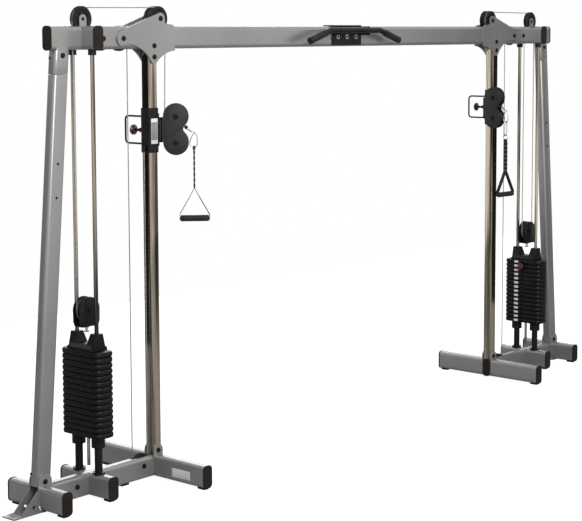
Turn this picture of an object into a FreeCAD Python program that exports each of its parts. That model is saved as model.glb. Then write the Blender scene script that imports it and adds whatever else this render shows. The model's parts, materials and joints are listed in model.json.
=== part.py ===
import FreeCAD, Part
import Sketcher
import math
import os
import re
from FreeCAD import Placement, Rotation, Vector

# Cable crossover machine: two weight towers joined by a crossbeam.
# Frame: X along the crossbeam, Y from front to back, Z up, floor at Z = 0, origin midway between the towers.
# The right tower (positive X) is modelled, and the left one mirrors it, except for the two swivel heads,
# which stand at angles of their own.

doc = FreeCAD.newDocument("cable_crossover")
sheet = doc.addObject("Spreadsheet::Sheet", "Sizes")

# Driving sizes in millimetres (angles in degrees). Names ending in _x, _y or _z are places.
SIZES = {
    # frame tubes
    "beam_wide": 50, "beam_tall": 100, "beam_corner": 18, "tube_wall": 3,
    "beam_top_z": 2030, "beam_outer_x": 1935, "beam_joint_x": 1300, "joint_gap": 2,
    "cross_tube_half": 99, "cap_thick": 6, "cap_lip": 1.5,
    "base_bottom_z": 8, "base_joint_x": 1564,
    "inner_foot_half": 335, "middle_foot_half": 153, "outer_foot_half": 173,
    # column
    "column_x": 1356, "column_wide": 50, "column_corner": 6,
    "adjust_pitch": 75, "adjust_first_z": 220, "adjust_count": 22, "adjust_hole_radius": 5.5,
    # upright
    "upright_long": 65, "upright_wide": 50, "upright_corner": 9,
    "upright_foot_x": 2019, "upright_low_z": 110, "upright_seam_x": 1882, "upright_seam_drop": 100,
    # ears at the base
    "ear_radius": 36, "column_ear_radius": 28, "ear_thick": 6, "ear_bolt_rise": 18,
    # anchor plate
    "anchor_long": 202, "anchor_inset": 27, "anchor_wide": 80, "anchor_thick": 6,
    "anchor_hole_radius": 6.5, "anchor_hole_inset": 24,
    "anchor_web_high": 86, "anchor_web_long": 86, "anchor_web_thick": 4, "anchor_web_hole": 9,
    "anchor_web_toe": 5,
    # feet
    "pad_long": 42, "pad_wide": 40, "pad_inset": 26,
    # stack
    "stack_x": 1746, "stack_half_wide": 120.5, "stack_half_long": 50, "plate_pitch": 25.2,
    "plate_bottom_z": 270, "plate_count": 15, "lifted_count": 2, "plate_bevel": 3.5, "plate_gap": 0.3,
    "guide_rod_radius": 9.5, "guide_rod_y": 62.5, "rod_hole_radius": 10,
    "rod_post_radius": 17, "rod_flange_radius": 27.5, "rod_flange_thick": 8, "bumper_tall": 45,
    "rod_collar_radius": 17.5, "rod_collar_tall": 22, "bumper_radius": 29.5,
    "selector_rod_radius": 7.5, "selector_rod_rise": 27, "selector_hole_radius": 8,
    "selector_pin_radius": 4.5, "selector_slot_wide": 10, "selector_knob_radius": 20,
    "selector_knob_thick": 16, "selector_neck_long": 8,
    "head_half_wide": 79, "head_half_long": 45, "head_base_tall": 26, "head_edge_tall": 10, "head_tall": 72,
    "head_boss_foot": 25, "head_boss_foot_long": 36, "head_boss_top": 19,
    # floating pulley
    "yoke_plate_thick": 5, "yoke_plate_half": 43, "yoke_half_thick": 23, "yoke_drop": 71,
    "yoke_web_thick": 8, "floating_rise": 170, "floating_line_radius": 52.5, "floating_flange_radius": 57,
    "eye_bolt_radius": 6,
    # pulleys and cable
    "cable_radius": 2.4, "line_radius": 48, "flange_radius": 55, "beam_flange_radius": 53,
    "pulley_half_thick": 9, "axle_radius": 6, "axle_clearance": 0.08, "groove_clearance": 0.3,
    "groove_depth": 1.9, "rim_flat": 1,
    "bolt_head_radius": 9, "bolt_head_thick": 5, "small_head_radius": 6.5, "hole_clearance": 0.3,
    "cable_gap": 0.5, "seat_gap": 0.3,
    "column_axle_inset": 43, "column_axle_rise": 33.5, "column_pulley_y": 12,
    "beam_axle_drop": 53, "floor_axle_rise": 61, "stack_axle_rise": 30, "anchor_strand_out": 36.5,
    "strap_ear_half": 19.5, "strap_ear_thick": 4, "strap_ear_gap": 9.7,
    # gusset plates
    "gusset_thick": 8, "gusset_inner_long": 130, "gusset_tip_drop": 66, "gusset_low_drop": 9,
    "gusset_lobe_radius": 36, "gusset_crown_radius": 26, "gusset_step_rise": 12, "gusset_step_long": 12,
    "gusset_bolt_inset": 2.5, "gusset_bolt_rise": 14, "column_bolt_drop": 35, "joint_bolt_drop": 22,
    "spine_bolt_out": 90, "spine_bolt_rise": 53,
    # carriage
    "carriage_step": 18, "sleeve_half": 30, "sleeve_clearance": 0.4, "sleeve_up": 100, "sleeve_down": 98,
    "swivel_reach": 65, "barrel_radius": 11, "barrel_half": 46, "lug_thick": 10, "lug_gap": 0.3,
    "hinge_pin_radius": 5,
    "grab_rod_radius": 4.5, "grab_reach_y": 155.5, "grab_half": 61, "grab_bend": 18,
    "pin_nose_radius": 5, "pin_nose_y": 25.6, "pin_stem_radius": 6, "pin_stem_y": 37,
    "pin_barrel_radius": 10, "pin_barrel_y": 62, "pin_knob_y": 93, "pin_knob_thick": 18,
    "pin_knob_radius": 23.5,
    # swivel head
    "head_line_radius": 50, "head_flange_radius": 54.5, "head_plate_radius": 57.5, "head_offset": 70,
    "head_rise": 60, "head_drop": 56, "head_plate_y": 16, "head_plate_thick": 4,
    "left_swivel_angle": -45, "right_swivel_angle": 265,
    # cable end and handle
    "ball_radius": 11, "ball_reach": 115, "eye_reach": 150, "eye_drop": 14, "eye_ring": 8, "eye_wire": 2.3,
    "ferrule_radius": 4.5,
    "hook_tall": 64, "hook_wide": 34, "hook_wire": 3.5, "link_tall": 92, "link_wide": 24, "link_wire": 3,
    "strap_wide": 25, "strap_thick": 6, "strap_long": 192, "strap_loop": 6, "strap_loop_wide": 14,
    "bridle_drop": 135, "bridle_thick": 3, "core_radius": 6.5,
    "grip_radius": 14, "grip_half": 64,
    # pull-up bar
    "pull_bar_y": -88, "pull_bar_drop": 20, "pull_bar_radius": 14.5, "pull_bar_half": 198,
    "pull_arm_out": 155, "pull_arm_drop": 50, "pull_arm_start": 42, "pull_grip_radius": 17,
    "saddle_half": 115, "saddle_thick": 6, "saddle_tall": 94, "screw_spacing": 72, "screw_drop": 52,
}

for row, (alias, amount) in enumerate(SIZES.items(), start=1):
    sheet.set("A%d" % row, alias.replace("_", " "))
    sheet.set("B%d" % row, repr(amount))
    sheet.setAlias("B%d" % row, alias)
doc.recompute()

# Places that follow from the sizes. The carriage stands at one of the column's holes, counted from the lowest.
PLACES = {
    "beam_axle_z": "beam_top_z - beam_axle_drop",
    "floor_axle_z": "base_bottom_z + floor_axle_rise",
    "stack_axle_z": "beam_top_z + stack_axle_rise",
    "column_axle_x": "column_x - column_axle_inset",
    "column_axle_z": "beam_top_z + column_axle_rise",
    "strand_x": "column_x + anchor_strand_out + 2 * line_radius",
    "upright_seam_z": "beam_top_z - beam_tall - upright_seam_drop",
    "ear_bolt_z": "base_bottom_z + beam_tall + ear_bolt_rise",
    "anchor_start_x": "upright_foot_x - anchor_inset",
    "anchor_end_x": "anchor_start_x + anchor_long",
    "rod_post_top_z": "plate_bottom_z - bumper_tall",
    "stack_top_z": "plate_bottom_z + plate_count * plate_pitch",
    "lifted_low_z": "stack_top_z - lifted_count * plate_pitch",
    "head_top_z": "stack_top_z + head_tall",
    "floating_z": "stack_top_z + floating_rise",
    "yoke_bottom_z": "floating_z - yoke_drop",
    "selector_rod_low_z": "base_bottom_z + beam_tall + selector_rod_rise",
    "carriage_z": "adjust_first_z + carriage_step * adjust_pitch",
    "eye_z": "carriage_z - eye_drop",
    "gusset_inner_x": "column_x - gusset_inner_long",
    "gusset_tip_z": "beam_top_z - beam_tall - gusset_tip_drop",
    "gusset_low_z": "beam_top_z - beam_tall - gusset_low_drop",
    "gusset_bolt_x": "column_x - gusset_bolt_inset",
    "saddle_low_z": "beam_top_z - saddle_tall",
    "screw_z": "beam_top_z - screw_drop",
    "pull_bar_z": "beam_top_z - pull_bar_drop",
}


# ---------------------------------------------------------------- helpers

def formula(words):
    """Turns the names in a phrase into references to the sheet, derived places into their own phrases."""
    def reference(match):
        name = match.group(1)
        if name in PLACES:
            return "(%s)" % formula(PLACES[name])
        return "Sizes." + name

    return re.sub(r"\b([a-z]+_[a-z0-9_]+)\b", reference, str(words))


def number(words):
    """The present value of a phrase of size names."""
    return float(sheet.evalExpression(formula(words)))


def place(item, x=0, y=0, z=0):
    for letter, words in (("x", x), ("y", y), ("z", z)):
        item.setExpression("Placement.Base." + letter, formula(words))
    return item


def block(name, long, wide, tall, x=0, y=0, z=0):
    """A box centred on x and y that stands on z."""
    item = doc.addObject("Part::Box", name)
    item.setExpression("Length", formula(long))
    item.setExpression("Width", formula(wide))
    item.setExpression("Height", formula(tall))
    return place(item, "(%s) - (%s) / 2" % (x, long), "(%s) - (%s) / 2" % (y, wide), z)


ALONG = {
    "x": Rotation(Vector(1, 1, 1), 120),
    "y": Rotation(Vector(1, 0, 0), -90),
    "z": Rotation(),
}


def rod(name, radius, long, along="z", x=0, y=0, z=0):
    """A round bar that starts at x, y, z and runs along an axis."""
    item = doc.addObject("Part::Cylinder", name)
    item.setExpression("Radius", formula(radius))
    item.setExpression("Height", formula(long))
    item.Placement = Placement(Vector(), ALONG[along])
    return place(item, x, y, z)


def cross_rod(name, radius, half, x, z, y=0):
    """A round bar along Y, centred on y."""
    return rod(name, radius, "2 * (%s)" % half, "y", x, "(%s) - (%s)" % (y, half), z)


def fuse(name, items):
    item = doc.addObject("Part::MultiFuse", name)
    item.Shapes = items
    return item


def cut(name, base, tools):
    item = doc.addObject("Part::Cut", name)
    item.Base = base
    item.Tool = tools[0] if len(tools) == 1 else fuse(name + "_tools", tools)
    return item


def mirrored(name, source):
    """The left-hand copy of a right-hand piece."""
    item = doc.addObject("Part::Mirroring", name)
    item.Source = source
    item.Base = Vector(0, 0, 0)
    item.Normal = Vector(1, 0, 0)
    return item


def group(name, items):
    item = doc.addObject("Part::Compound", name)
    item.Links = items
    return item


def coded(name, shape):
    """A piece whose shape comes from Part's own functions."""
    item = doc.addObject("Part::Feature", name)
    item.Shape = shape
    return item


def rounded_rectangle(sketch, wide, tall, corner):
    """Adds a centred rectangle with round corners, its sizes bound to the sheet."""
    half, rise, turn = number(wide) / 2, number(tall) / 2, number(corner)
    ring = []
    right_angle = math.pi / 2
    for side, (ux, uy) in enumerate(((1, 0), (0, 1), (-1, 0), (0, -1))):
        # each side runs along u, with its outward normal to the right of u
        out_x, out_y = uy * half, -ux * rise
        reach = (half if ux else rise) - turn
        start = Vector(out_x - ux * reach, out_y - uy * reach, 0)
        end = Vector(out_x + ux * reach, out_y + uy * reach, 0)
        ring.append(sketch.addGeometry(Part.LineSegment(start, end)))
        centre = end + Vector(-uy * turn, ux * turn, 0)
        circle = Part.Circle(centre, Vector(0, 0, 1), turn)
        first = (side - 1) * right_angle
        ring.append(sketch.addGeometry(Part.ArcOfCircle(circle, first, first + right_angle)))
    for place_in_ring, edge in enumerate(ring):
        following = ring[(place_in_ring + 1) % len(ring)]
        sketch.addConstraint(Sketcher.Constraint("Tangent", edge, 2, following, 1))
    sketch.addConstraint(Sketcher.Constraint("Horizontal", ring[0]))
    sketch.addConstraint(Sketcher.Constraint("Vertical", ring[2]))
    sketch.addConstraint(Sketcher.Constraint("Horizontal", ring[4]))
    sketch.addConstraint(Sketcher.Constraint("Vertical", ring[6]))
    for arc in (ring[3], ring[5], ring[7]):
        sketch.addConstraint(Sketcher.Constraint("Equal", ring[1], arc))
    bound = (
        (Sketcher.Constraint("Radius", ring[1], turn), corner),
        (Sketcher.Constraint("DistanceX", ring[6], 1, ring[2], 1, 2 * half), wide),
        (Sketcher.Constraint("DistanceY", ring[0], 1, ring[4], 1, 2 * rise), tall),
        (Sketcher.Constraint("DistanceX", -1, 1, ring[2], 1, half), "(%s) / 2" % wide),
        (Sketcher.Constraint("DistanceY", -1, 1, ring[4], 1, rise), "(%s) / 2" % tall),
    )
    for constraint, words in bound:
        index = sketch.addConstraint(constraint)
        sketch.setExpression("Constraints[%d]" % index, formula(words))


def tube(name, wide, tall, corner, long, along, x, y, z, wall="tube_wall"):
    """A rectangular tube that starts at x, y, z; a wall of 0 gives a solid bar."""
    profile = doc.addObject("Sketcher::SketchObject", name + "_profile")
    rounded_rectangle(profile, wide, tall, corner)
    if wall:
        inner = "(%s) - 2 * (%s)"
        rounded_rectangle(profile, inner % (wide, wall), inner % (tall, wall), "(%s) - (%s)" % (corner, wall))
    item = doc.addObject("Part::Extrusion", name)
    item.Base = profile
    item.DirMode = "Custom"
    item.Dir = Vector(0, 0, 1)
    item.Solid = True
    item.setExpression("LengthFwd", formula(long))
    item.Placement = Placement(Vector(), ALONG[along])
    return place(item, x, y, z)


def slab(name, outline, thick, x=0, y=0, z=0):
    """A plate in the XZ plane: outline is a closed wire of (x, z) edges, its thickness runs along +Y from y."""
    face = Part.Face(Part.Wire(outline))
    item = coded(name + "_outline", face)
    solid = doc.addObject("Part::Extrusion", name)
    solid.Base = item
    solid.DirMode = "Custom"
    solid.Dir = Vector(0, 1, 0)
    solid.Solid = True
    solid.setExpression("LengthFwd", formula(thick))
    return place(solid, x, y, z)


def point(x, z):
    return Vector(x, 0, z)


def line(a, b):
    return Part.LineSegment(point(*a), point(*b)).toShape()


def arc(a, b, c):
    return Part.Arc(point(*a), point(*b), point(*c)).toShape()


def route(points, radii):
    """Straight runs joined by tangent arcs, one radius for each inner point."""
    edges = []
    last = points[0]
    for before, corner, after, radius in zip(points, points[1:], points[2:], radii):
        arriving = (before - corner).normalize()
        leaving = (after - corner).normalize()
        half_angle = arriving.getAngle(leaving) / 2
        back = radius / math.tan(half_angle)
        start = corner + arriving * back
        end = corner + leaving * back
        inward = (arriving + leaving).normalize()
        middle = corner + inward * (radius / math.sin(half_angle) - radius)
        if (start - last).Length > 0.01:
            edges.append(Part.LineSegment(last, start).toShape())
        edges.append(Part.Arc(start, middle, end).toShape())
        last = end
    edges.append(Part.LineSegment(last, points[-1]).toShape())
    return Part.Wire(edges)


def swept(name, wire, radius):
    """A round bar along a wire."""
    first = wire.OrderedEdges[0]
    heading = first.tangentAt(first.FirstParameter)
    disc = Part.Wire(Part.Circle(first.valueAt(first.FirstParameter), heading, radius).toShape())
    return coded(name, wire.makePipeShell([disc], True, True))


# ---------------------------------------------------------------- pulleys

def pulley(name, flange, line_at, x, y, z, bore="axle_radius + axle_clearance"):
    """A cable pulley on a Y axis: bored hub, flat sides, and a V groove for the cable."""
    body = doc.addObject("PartDesign::Body", name)
    sketch = body.newObject("Sketcher::SketchObject", name + "_section")
    plane = [item for item in body.Origin.OriginFeatures if item.Role == "XY_Plane"][0]
    sketch.AttachmentSupport = [(plane, "")]
    sketch.MapMode = "FlatFace"
    inside = number(bore)
    rim = number(flange)
    bottom = number("(%s) - groove_depth * (cable_radius + groove_clearance)" % line_at)
    half = number("pulley_half_thick")
    mouth = half - number("rim_flat")
    corners = ((inside, -half), (rim, -half), (rim, -mouth), (bottom, 0), (rim, mouth), (rim, half), (inside, half))
    count = len(corners)
    for here, there in zip(corners, corners[1:] + corners[:1]):
        sketch.addGeometry(Part.LineSegment(Vector(here[0], here[1], 0), Vector(there[0], there[1], 0)))
    for index in range(count):
        sketch.addConstraint(Sketcher.Constraint("Coincident", index, 2, (index + 1) % count, 1))
    for index in (0, 5):
        sketch.addConstraint(Sketcher.Constraint("Horizontal", index))
    for index in (1, 4, 6):
        sketch.addConstraint(Sketcher.Constraint("Vertical", index))
    mouth_words = "pulley_half_thick - rim_flat"
    bottom_words = "(%s) - groove_depth * (cable_radius + groove_clearance)" % line_at
    bound = (
        (("DistanceX", -1, 1, 0, 1), bore),
        (("DistanceX", -1, 1, 1, 1), flange),
        (("DistanceX", -1, 1, 4, 1), flange),
        (("DistanceX", -1, 1, 3, 1), bottom_words),
        (("DistanceY", 0, 1, -1, 1), "pulley_half_thick"),
        (("DistanceY", 2, 1, -1, 1), mouth_words),
        (("DistanceY", -1, 1, 4, 1), mouth_words),
        (("DistanceY", -1, 1, 5, 1), "pulley_half_thick"),
    )
    for arguments, words in bound:
        index = sketch.addConstraint(Sketcher.Constraint(*arguments, number(words)))
        sketch.setExpression("Constraints[%d]" % index, formula(words))
    sketch.addConstraint(Sketcher.Constraint("PointOnObject", 3, 1, -1))
    turned = body.newObject("PartDesign::Revolution", name + "_turned")
    turned.Profile = sketch
    turned.ReferenceAxis = (sketch, ["V_Axis"])
    turned.Angle = 360
    body.Tip = turned
    return place(body, x, y, z)


# ---------------------------------------------------------------- frame of one tower

BEAM_MIDDLE_Z = "beam_top_z - beam_tall / 2"
BASE_MIDDLE_Z = "base_bottom_z + beam_tall / 2"
BASE_TOP_Z = "base_bottom_z + beam_tall"
BEAM_BOTTOM_Z = "beam_top_z - beam_tall"
LEAN = "(upright_foot_x - upright_seam_x) / (upright_seam_z - upright_low_z)"
FLOATING_X = "stack_x + 0.5"
FIRST_BEAM_AXLE_X = "strand_x + line_radius"
DOWN_STRAND_X = "stack_x + 0.5 - floating_line_radius"
UP_STRAND_X = "stack_x + 0.5 + floating_line_radius"
SECOND_BEAM_AXLE_X = "(stack_x + 0.5 - floating_line_radius) - line_radius"
STACK_AXLE_X = "(stack_x + 0.5 + floating_line_radius) - line_radius"
FLOOR_AXLE_X = "strand_x - line_radius"
GUSSET_FACE_Y = "beam_wide / 2 + gusset_thick"
JOINT_BOLT_Z = "beam_top_z - beam_tall - joint_bolt_drop"


def upright_x(z):
    """Centre of the leaning upright at a height."""
    return "upright_foot_x - (%s) * ((%s) - upright_low_z)" % (LEAN, z)


# Through bolts and axles of one tower: name, place in X and Z, half the grip along Y, head radius
BOLTS = (
    ("column_axle", "column_axle_x", "column_axle_z", GUSSET_FACE_Y, "bolt_head_radius"),
    ("gusset_bolt", "gusset_bolt_x", BEAM_BOTTOM_Z + " + gusset_bolt_rise", GUSSET_FACE_Y, "bolt_head_radius"),
    ("column_bolt", "gusset_bolt_x", BEAM_BOTTOM_Z + " - column_bolt_drop", GUSSET_FACE_Y, "bolt_head_radius"),
    ("first_beam_axle", FIRST_BEAM_AXLE_X, "beam_axle_z", GUSSET_FACE_Y, "bolt_head_radius"),
    ("second_beam_axle", SECOND_BEAM_AXLE_X, "beam_axle_z", "beam_wide / 2", "bolt_head_radius"),
    ("stack_axle", STACK_AXLE_X, "stack_axle_z", "strap_ear_gap + strap_ear_thick", "small_head_radius"),
    ("floor_axle", FLOOR_AXLE_X, "floor_axle_z", "beam_wide / 2", "bolt_head_radius"),
    ("spine_bolt", "stack_x + spine_bolt_out", "base_bottom_z + spine_bolt_rise", "beam_wide / 2",
     "bolt_head_radius"),
    ("column_ear_bolt", "column_x", "ear_bolt_z", "beam_wide / 2 + ear_thick", "bolt_head_radius"),
    ("upright_ear_bolt", upright_x("ear_bolt_z"), "ear_bolt_z", "beam_wide / 2 + ear_thick", "bolt_head_radius"),
    ("top_joint_bolt", upright_x(JOINT_BOLT_Z), JOINT_BOLT_Z, "beam_wide / 2", "bolt_head_radius"),
)


def bolt_cutters(chosen):
    return [
        cross_rod(name + "_hole", "axle_radius + hole_clearance", "beam_wide", x, z)
        for name, x, z, grip, head in BOLTS
        if name in chosen
    ]


def bolts():
    """Each bolt is a shank with a head at one end and a nut at the other, seated on the outer faces."""
    made = []
    for name, x, z, grip, head in BOLTS:
        shank = cross_rod(name + "_shank", "axle_radius", grip, x, z)
        ends = [
            rod(name + "_head", head, "bolt_head_thick", "y", x, "-(%s) - bolt_head_thick" % grip, z),
            rod(name + "_nut", head, "bolt_head_thick", "y", x, grip, z),
        ]
        made.append(fuse(name, [shank] + ends))
    return made


def slot(name, low_x, high_x, wide, low_z, high_z, y=0):
    long = "(%s) - (%s)" % (high_x, low_x)
    return block(name, long, wide, "(%s) - (%s)" % (high_z, low_z), "(%s) + (%s) / 2" % (low_x, long), y, low_z)


def top_frame():
    """Tower top: beam, cross tube over the stack, stub for the upright and strap ears, welded together."""
    start = "beam_joint_x + joint_gap"
    beam = tube("tower_beam", "beam_wide", "beam_tall", "beam_corner", "beam_outer_x - (%s)" % start, "x",
                start, 0, BEAM_MIDDLE_Z, wall=None)
    cross = tube("tower_cross", "beam_wide", "beam_tall", "beam_corner", "2 * cross_tube_half", "y",
                 "stack_x", "-cross_tube_half", BEAM_MIDDLE_Z, wall=None)
    stub = slanted_tube("upright_stub", "upright_seam_z", "beam_top_z - beam_tall / 2")
    ears = [strap_ear("strap_ear_front", -1), strap_ear("strap_ear_back", 1)]
    inner_wide = "beam_wide - 2 * tube_wall"
    inner_tall = "beam_tall - 2 * tube_wall"
    inner_corner = "beam_corner - tube_wall"
    hollow = tube("tower_beam_hollow", inner_wide, inner_tall, inner_corner,
                  "beam_outer_x - (%s) + 2" % start, "x", "(%s) - 1" % start, 0, BEAM_MIDDLE_Z, wall=None)
    cross_hollow = tube("tower_cross_hollow", inner_wide, inner_tall, inner_corner,
                        "2 * cross_tube_half + 2", "y", "stack_x", "-cross_tube_half - 1", BEAM_MIDDLE_Z,
                        wall=None)
    stub_hollow = slanted_tube("stub_hollow", "upright_seam_z - 1", "%s - 1" % BEAM_BOTTOM_Z, "tube_wall")
    slots = [
        slot("beam_pulley_slot", FIRST_BEAM_AXLE_X + " - 58", DOWN_STRAND_X + " + 8", "22",
             BEAM_BOTTOM_Z + " - 1", "beam_top_z + 5"),
        slot("stack_pulley_slot", DOWN_STRAND_X + " + 7", UP_STRAND_X + " + 9", "2 * strap_ear_gap",
             BEAM_BOTTOM_Z + " - 1", "beam_top_z + 5"),
        column_pulley_slot("tower_column_pulley_slot"),
    ]
    cutters = bolt_cutters(("column_axle", "gusset_bolt", "first_beam_axle", "second_beam_axle", "stack_axle",
                            "top_joint_bolt"))
    whole = fuse("tower_top_outside", [beam, cross, stub] + ears)
    return cut("right_top_frame", whole, [hollow, cross_hollow, stub_hollow] + slots + cutters)


def column_pulley_slot(name):
    """Opening for the two column pulleys and for the cable that drops beside the column."""
    return slot(name, "column_axle_x - flange_radius - 4", "column_axle_x + flange_radius + 4",
                "beam_wide - 2 * tube_wall - 2 * hole_clearance", "column_axle_z - flange_radius - 4", "beam_top_z + 5")


def slanted_tube(name, low_z, high_z, inset="0", wide="upright_wide"):
    """A bar that follows the upright's lean, with level ends."""
    profile = doc.addObject("Sketcher::SketchObject", name + "_profile")
    rounded_rectangle(profile, "upright_long - 2 * (%s)" % inset, "(%s) - 2 * (%s)" % (wide, inset),
                      "upright_corner - (%s)" % inset)
    item = doc.addObject("Part::Extrusion", name)
    item.Base = profile
    item.DirMode = "Custom"
    item.Dir = Vector(0, 0, 1)
    item.setExpression("Dir.x", formula("-(%s)" % LEAN))
    item.Solid = True
    item.setExpression("LengthFwd", formula("((%s) - (%s)) * sqrt(1 + (%s) * (%s))" % (high_z, low_z, LEAN, LEAN)))
    return place(item, upright_x(low_z), 0, low_z)


def strap_ear(name, side):
    """Upright strap with a round top that holds the axle of the pulley over the stack."""
    y = "(%d) * (strap_ear_gap + strap_ear_thick / 2)" % side
    low = "beam_top_z - tube_wall"
    plate = block(name + "_plate", "2 * strap_ear_half", "strap_ear_thick", "stack_axle_z - (%s)" % low,
                  STACK_AXLE_X, y, low)
    top = cross_rod(name + "_top", "strap_ear_half", "strap_ear_thick / 2", STACK_AXLE_X, "stack_axle_z", y)
    return fuse(name, [plate, top])


def crossbeam():
    """Tube between the towers, notched at both ends for the column pulleys."""
    long = "2 * beam_joint_x"
    beam = tube("crossbeam_tube", "beam_wide", "beam_tall", "beam_corner", long, "x", "-beam_joint_x", 0,
                BEAM_MIDDLE_Z)
    notch = column_pulley_slot("crossbeam_notch_right")
    drop = slot("crossbeam_cable_hole", "column_axle_x - line_radius - 10", "column_axle_x - line_radius + 12",
                "beam_wide - 2 * tube_wall - 2 * hole_clearance", BEAM_BOTTOM_Z + " - 1", BEAM_MIDDLE_Z)
    tools = [notch, drop, mirrored("crossbeam_notch_left", notch), mirrored("crossbeam_cable_hole_left", drop)]
    return cut("crossbeam", beam, tools)


def ear(name, x, side, radius, low_z):
    """Round-topped plate against one side of a post's foot."""
    y = "(%d) * (beam_wide / 2 + ear_thick / 2)" % side
    plate = block(name + "_plate", "2 * (%s)" % radius, "ear_thick", "ear_bolt_z - (%s)" % low_z, x, y, low_z)
    top = cross_rod(name + "_top", radius, "ear_thick / 2", x, "ear_bolt_z", y)
    return fuse(name, [plate, top])


def foot_tube(name, half, x, start="0", wall=None, inset="0"):
    """A foot along Y; start leaves out its middle."""
    return tube(name, "beam_wide - 2 * (%s)" % inset, "beam_tall - 2 * (%s)" % inset,
                "beam_corner - (%s)" % inset, half, "y", x, start, BASE_MIDDLE_Z, wall=wall)


def base_frames():
    """Inner weldment: foot under the column and half the spine. Outer weldment: the rest."""
    inner_x = "column_x - beam_wide / 2"
    outer_end = upright_x("base_bottom_z") + " - upright_long / 2"
    hollow_end = upright_x(BASE_TOP_Z) + " - upright_long / 2 - tube_wall"
    inner_spine = tube("inner_spine", "beam_wide", "beam_tall", "beam_corner", "base_joint_x - (%s)" % inner_x,
                       "x", inner_x, 0, BASE_MIDDLE_Z, wall=None)
    inner_foot = foot_tube("inner_foot", "2 * inner_foot_half", "column_x", "-inner_foot_half")
    inner_ears = [ear("column_ear_" + end, "column_x", side, "column_ear_radius", BASE_TOP_Z + " - 10")
                  for end, side in (("front", -1), ("back", 1))]
    spine_hollow = tube("inner_spine_hollow", "beam_wide - 2 * tube_wall", "beam_tall - 2 * tube_wall",
                        "beam_corner - tube_wall", "base_joint_x - (%s) + 2" % inner_x, "x",
                        inner_x + " - 1", 0, BASE_MIDDLE_Z, wall=None)
    foot_hollow = foot_tube("inner_foot_hollow", "2 * inner_foot_half + 2", "column_x", "-inner_foot_half - 1",
                            inset="tube_wall")
    pulley_slot = slot("floor_pulley_slot", FLOOR_AXLE_X + " - flange_radius - 3",
                       FLOOR_AXLE_X + " + flange_radius + 3", "22", "floor_axle_z", BASE_TOP_Z + " + 1")
    inner = cut("right_inner_base", fuse("inner_base_outside", [inner_spine, inner_foot] + inner_ears),
                [spine_hollow, foot_hollow, pulley_slot] + bolt_cutters(("floor_axle", "column_ear_bolt")))

    outer_start = "base_joint_x + joint_gap / 4"
    outer_spine = tube("outer_spine", "beam_wide", "beam_tall", "beam_corner",
                       "(%s) - (%s)" % (outer_end, outer_start), "x", outer_start, 0, BASE_MIDDLE_Z, wall=None)
    outer_hollow = tube("outer_spine_hollow", "beam_wide - 2 * tube_wall", "beam_tall - 2 * tube_wall",
                        "beam_corner - tube_wall", "(%s) - (%s) + 1" % (hollow_end, outer_start), "x",
                        outer_start + " - 1", 0, BASE_MIDDLE_Z, wall=None)
    middle_foot = foot_tube("middle_foot", "2 * middle_foot_half", "stack_x", "-middle_foot_half")
    middle_hollow = foot_tube("middle_foot_hollow", "2 * middle_foot_half + 2", "stack_x",
                              "-middle_foot_half - 1", inset="tube_wall")
    face = slanted_tube("spine_end_space", "0", "200", "0", "2 * beam_wide")
    outer = cut("right_spine_part", fuse("outer_base_outside", [outer_spine, middle_foot]),
                [outer_hollow, middle_hollow, face] + bolt_cutters(("spine_bolt",)))
    return inner, outer


def outer_foot_half(name, side):
    """Half of the outer foot, with its ear against the upright."""
    half = "outer_foot_half - beam_wide / 2 - ear_thick"
    start = "beam_wide / 2 + ear_thick" if side > 0 else "-outer_foot_half"
    x = upright_x(BASE_MIDDLE_Z)
    foot = foot_tube(name + "_tube", half, x, start)
    hollow = foot_tube(name + "_hollow", half + " + 1", x, start + (" + 4" if side > 0 else " - 5"),
                       inset="tube_wall")
    cheek = ear(name + "_ear", upright_x("ear_bolt_z"), side, "ear_radius", "base_bottom_z + 20")
    return cut(name, fuse(name + "_outside", [foot, cheek]), [hollow] + bolt_cutters(("upright_ear_bolt",)))


def column():
    """Square chrome tube with a row of adjustment holes in its back face."""
    high = "(%s) - (%s)" % (BEAM_BOTTOM_Z, BASE_TOP_Z)
    post = tube("column_tube", "column_wide", "column_wide", "column_corner", high, "z", "column_x", 0, BASE_TOP_Z)
    holes = []
    for step in range(int(number("adjust_count"))):
        holes.append(rod("adjust_hole_%d" % (step + 1), "adjust_hole_radius", "column_wide / 2 + 5", "y",
                         "column_x", 0, "adjust_first_z + %d * adjust_pitch" % step))
    return cut("right_column", post, holes + bolt_cutters(("column_bolt", "column_ear_bolt")))


def upright():
    """Leaning tube from the floor plate to the stub under the top beam."""
    outside = slanted_tube("upright_outside", "anchor_thick", "upright_seam_z - joint_gap / 4")
    inside = slanted_tube("upright_inside", "anchor_thick + tube_wall", "upright_seam_z + 5", "tube_wall")
    return cut("right_upright", outside, [inside] + bolt_cutters(("upright_ear_bolt",)))


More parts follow.
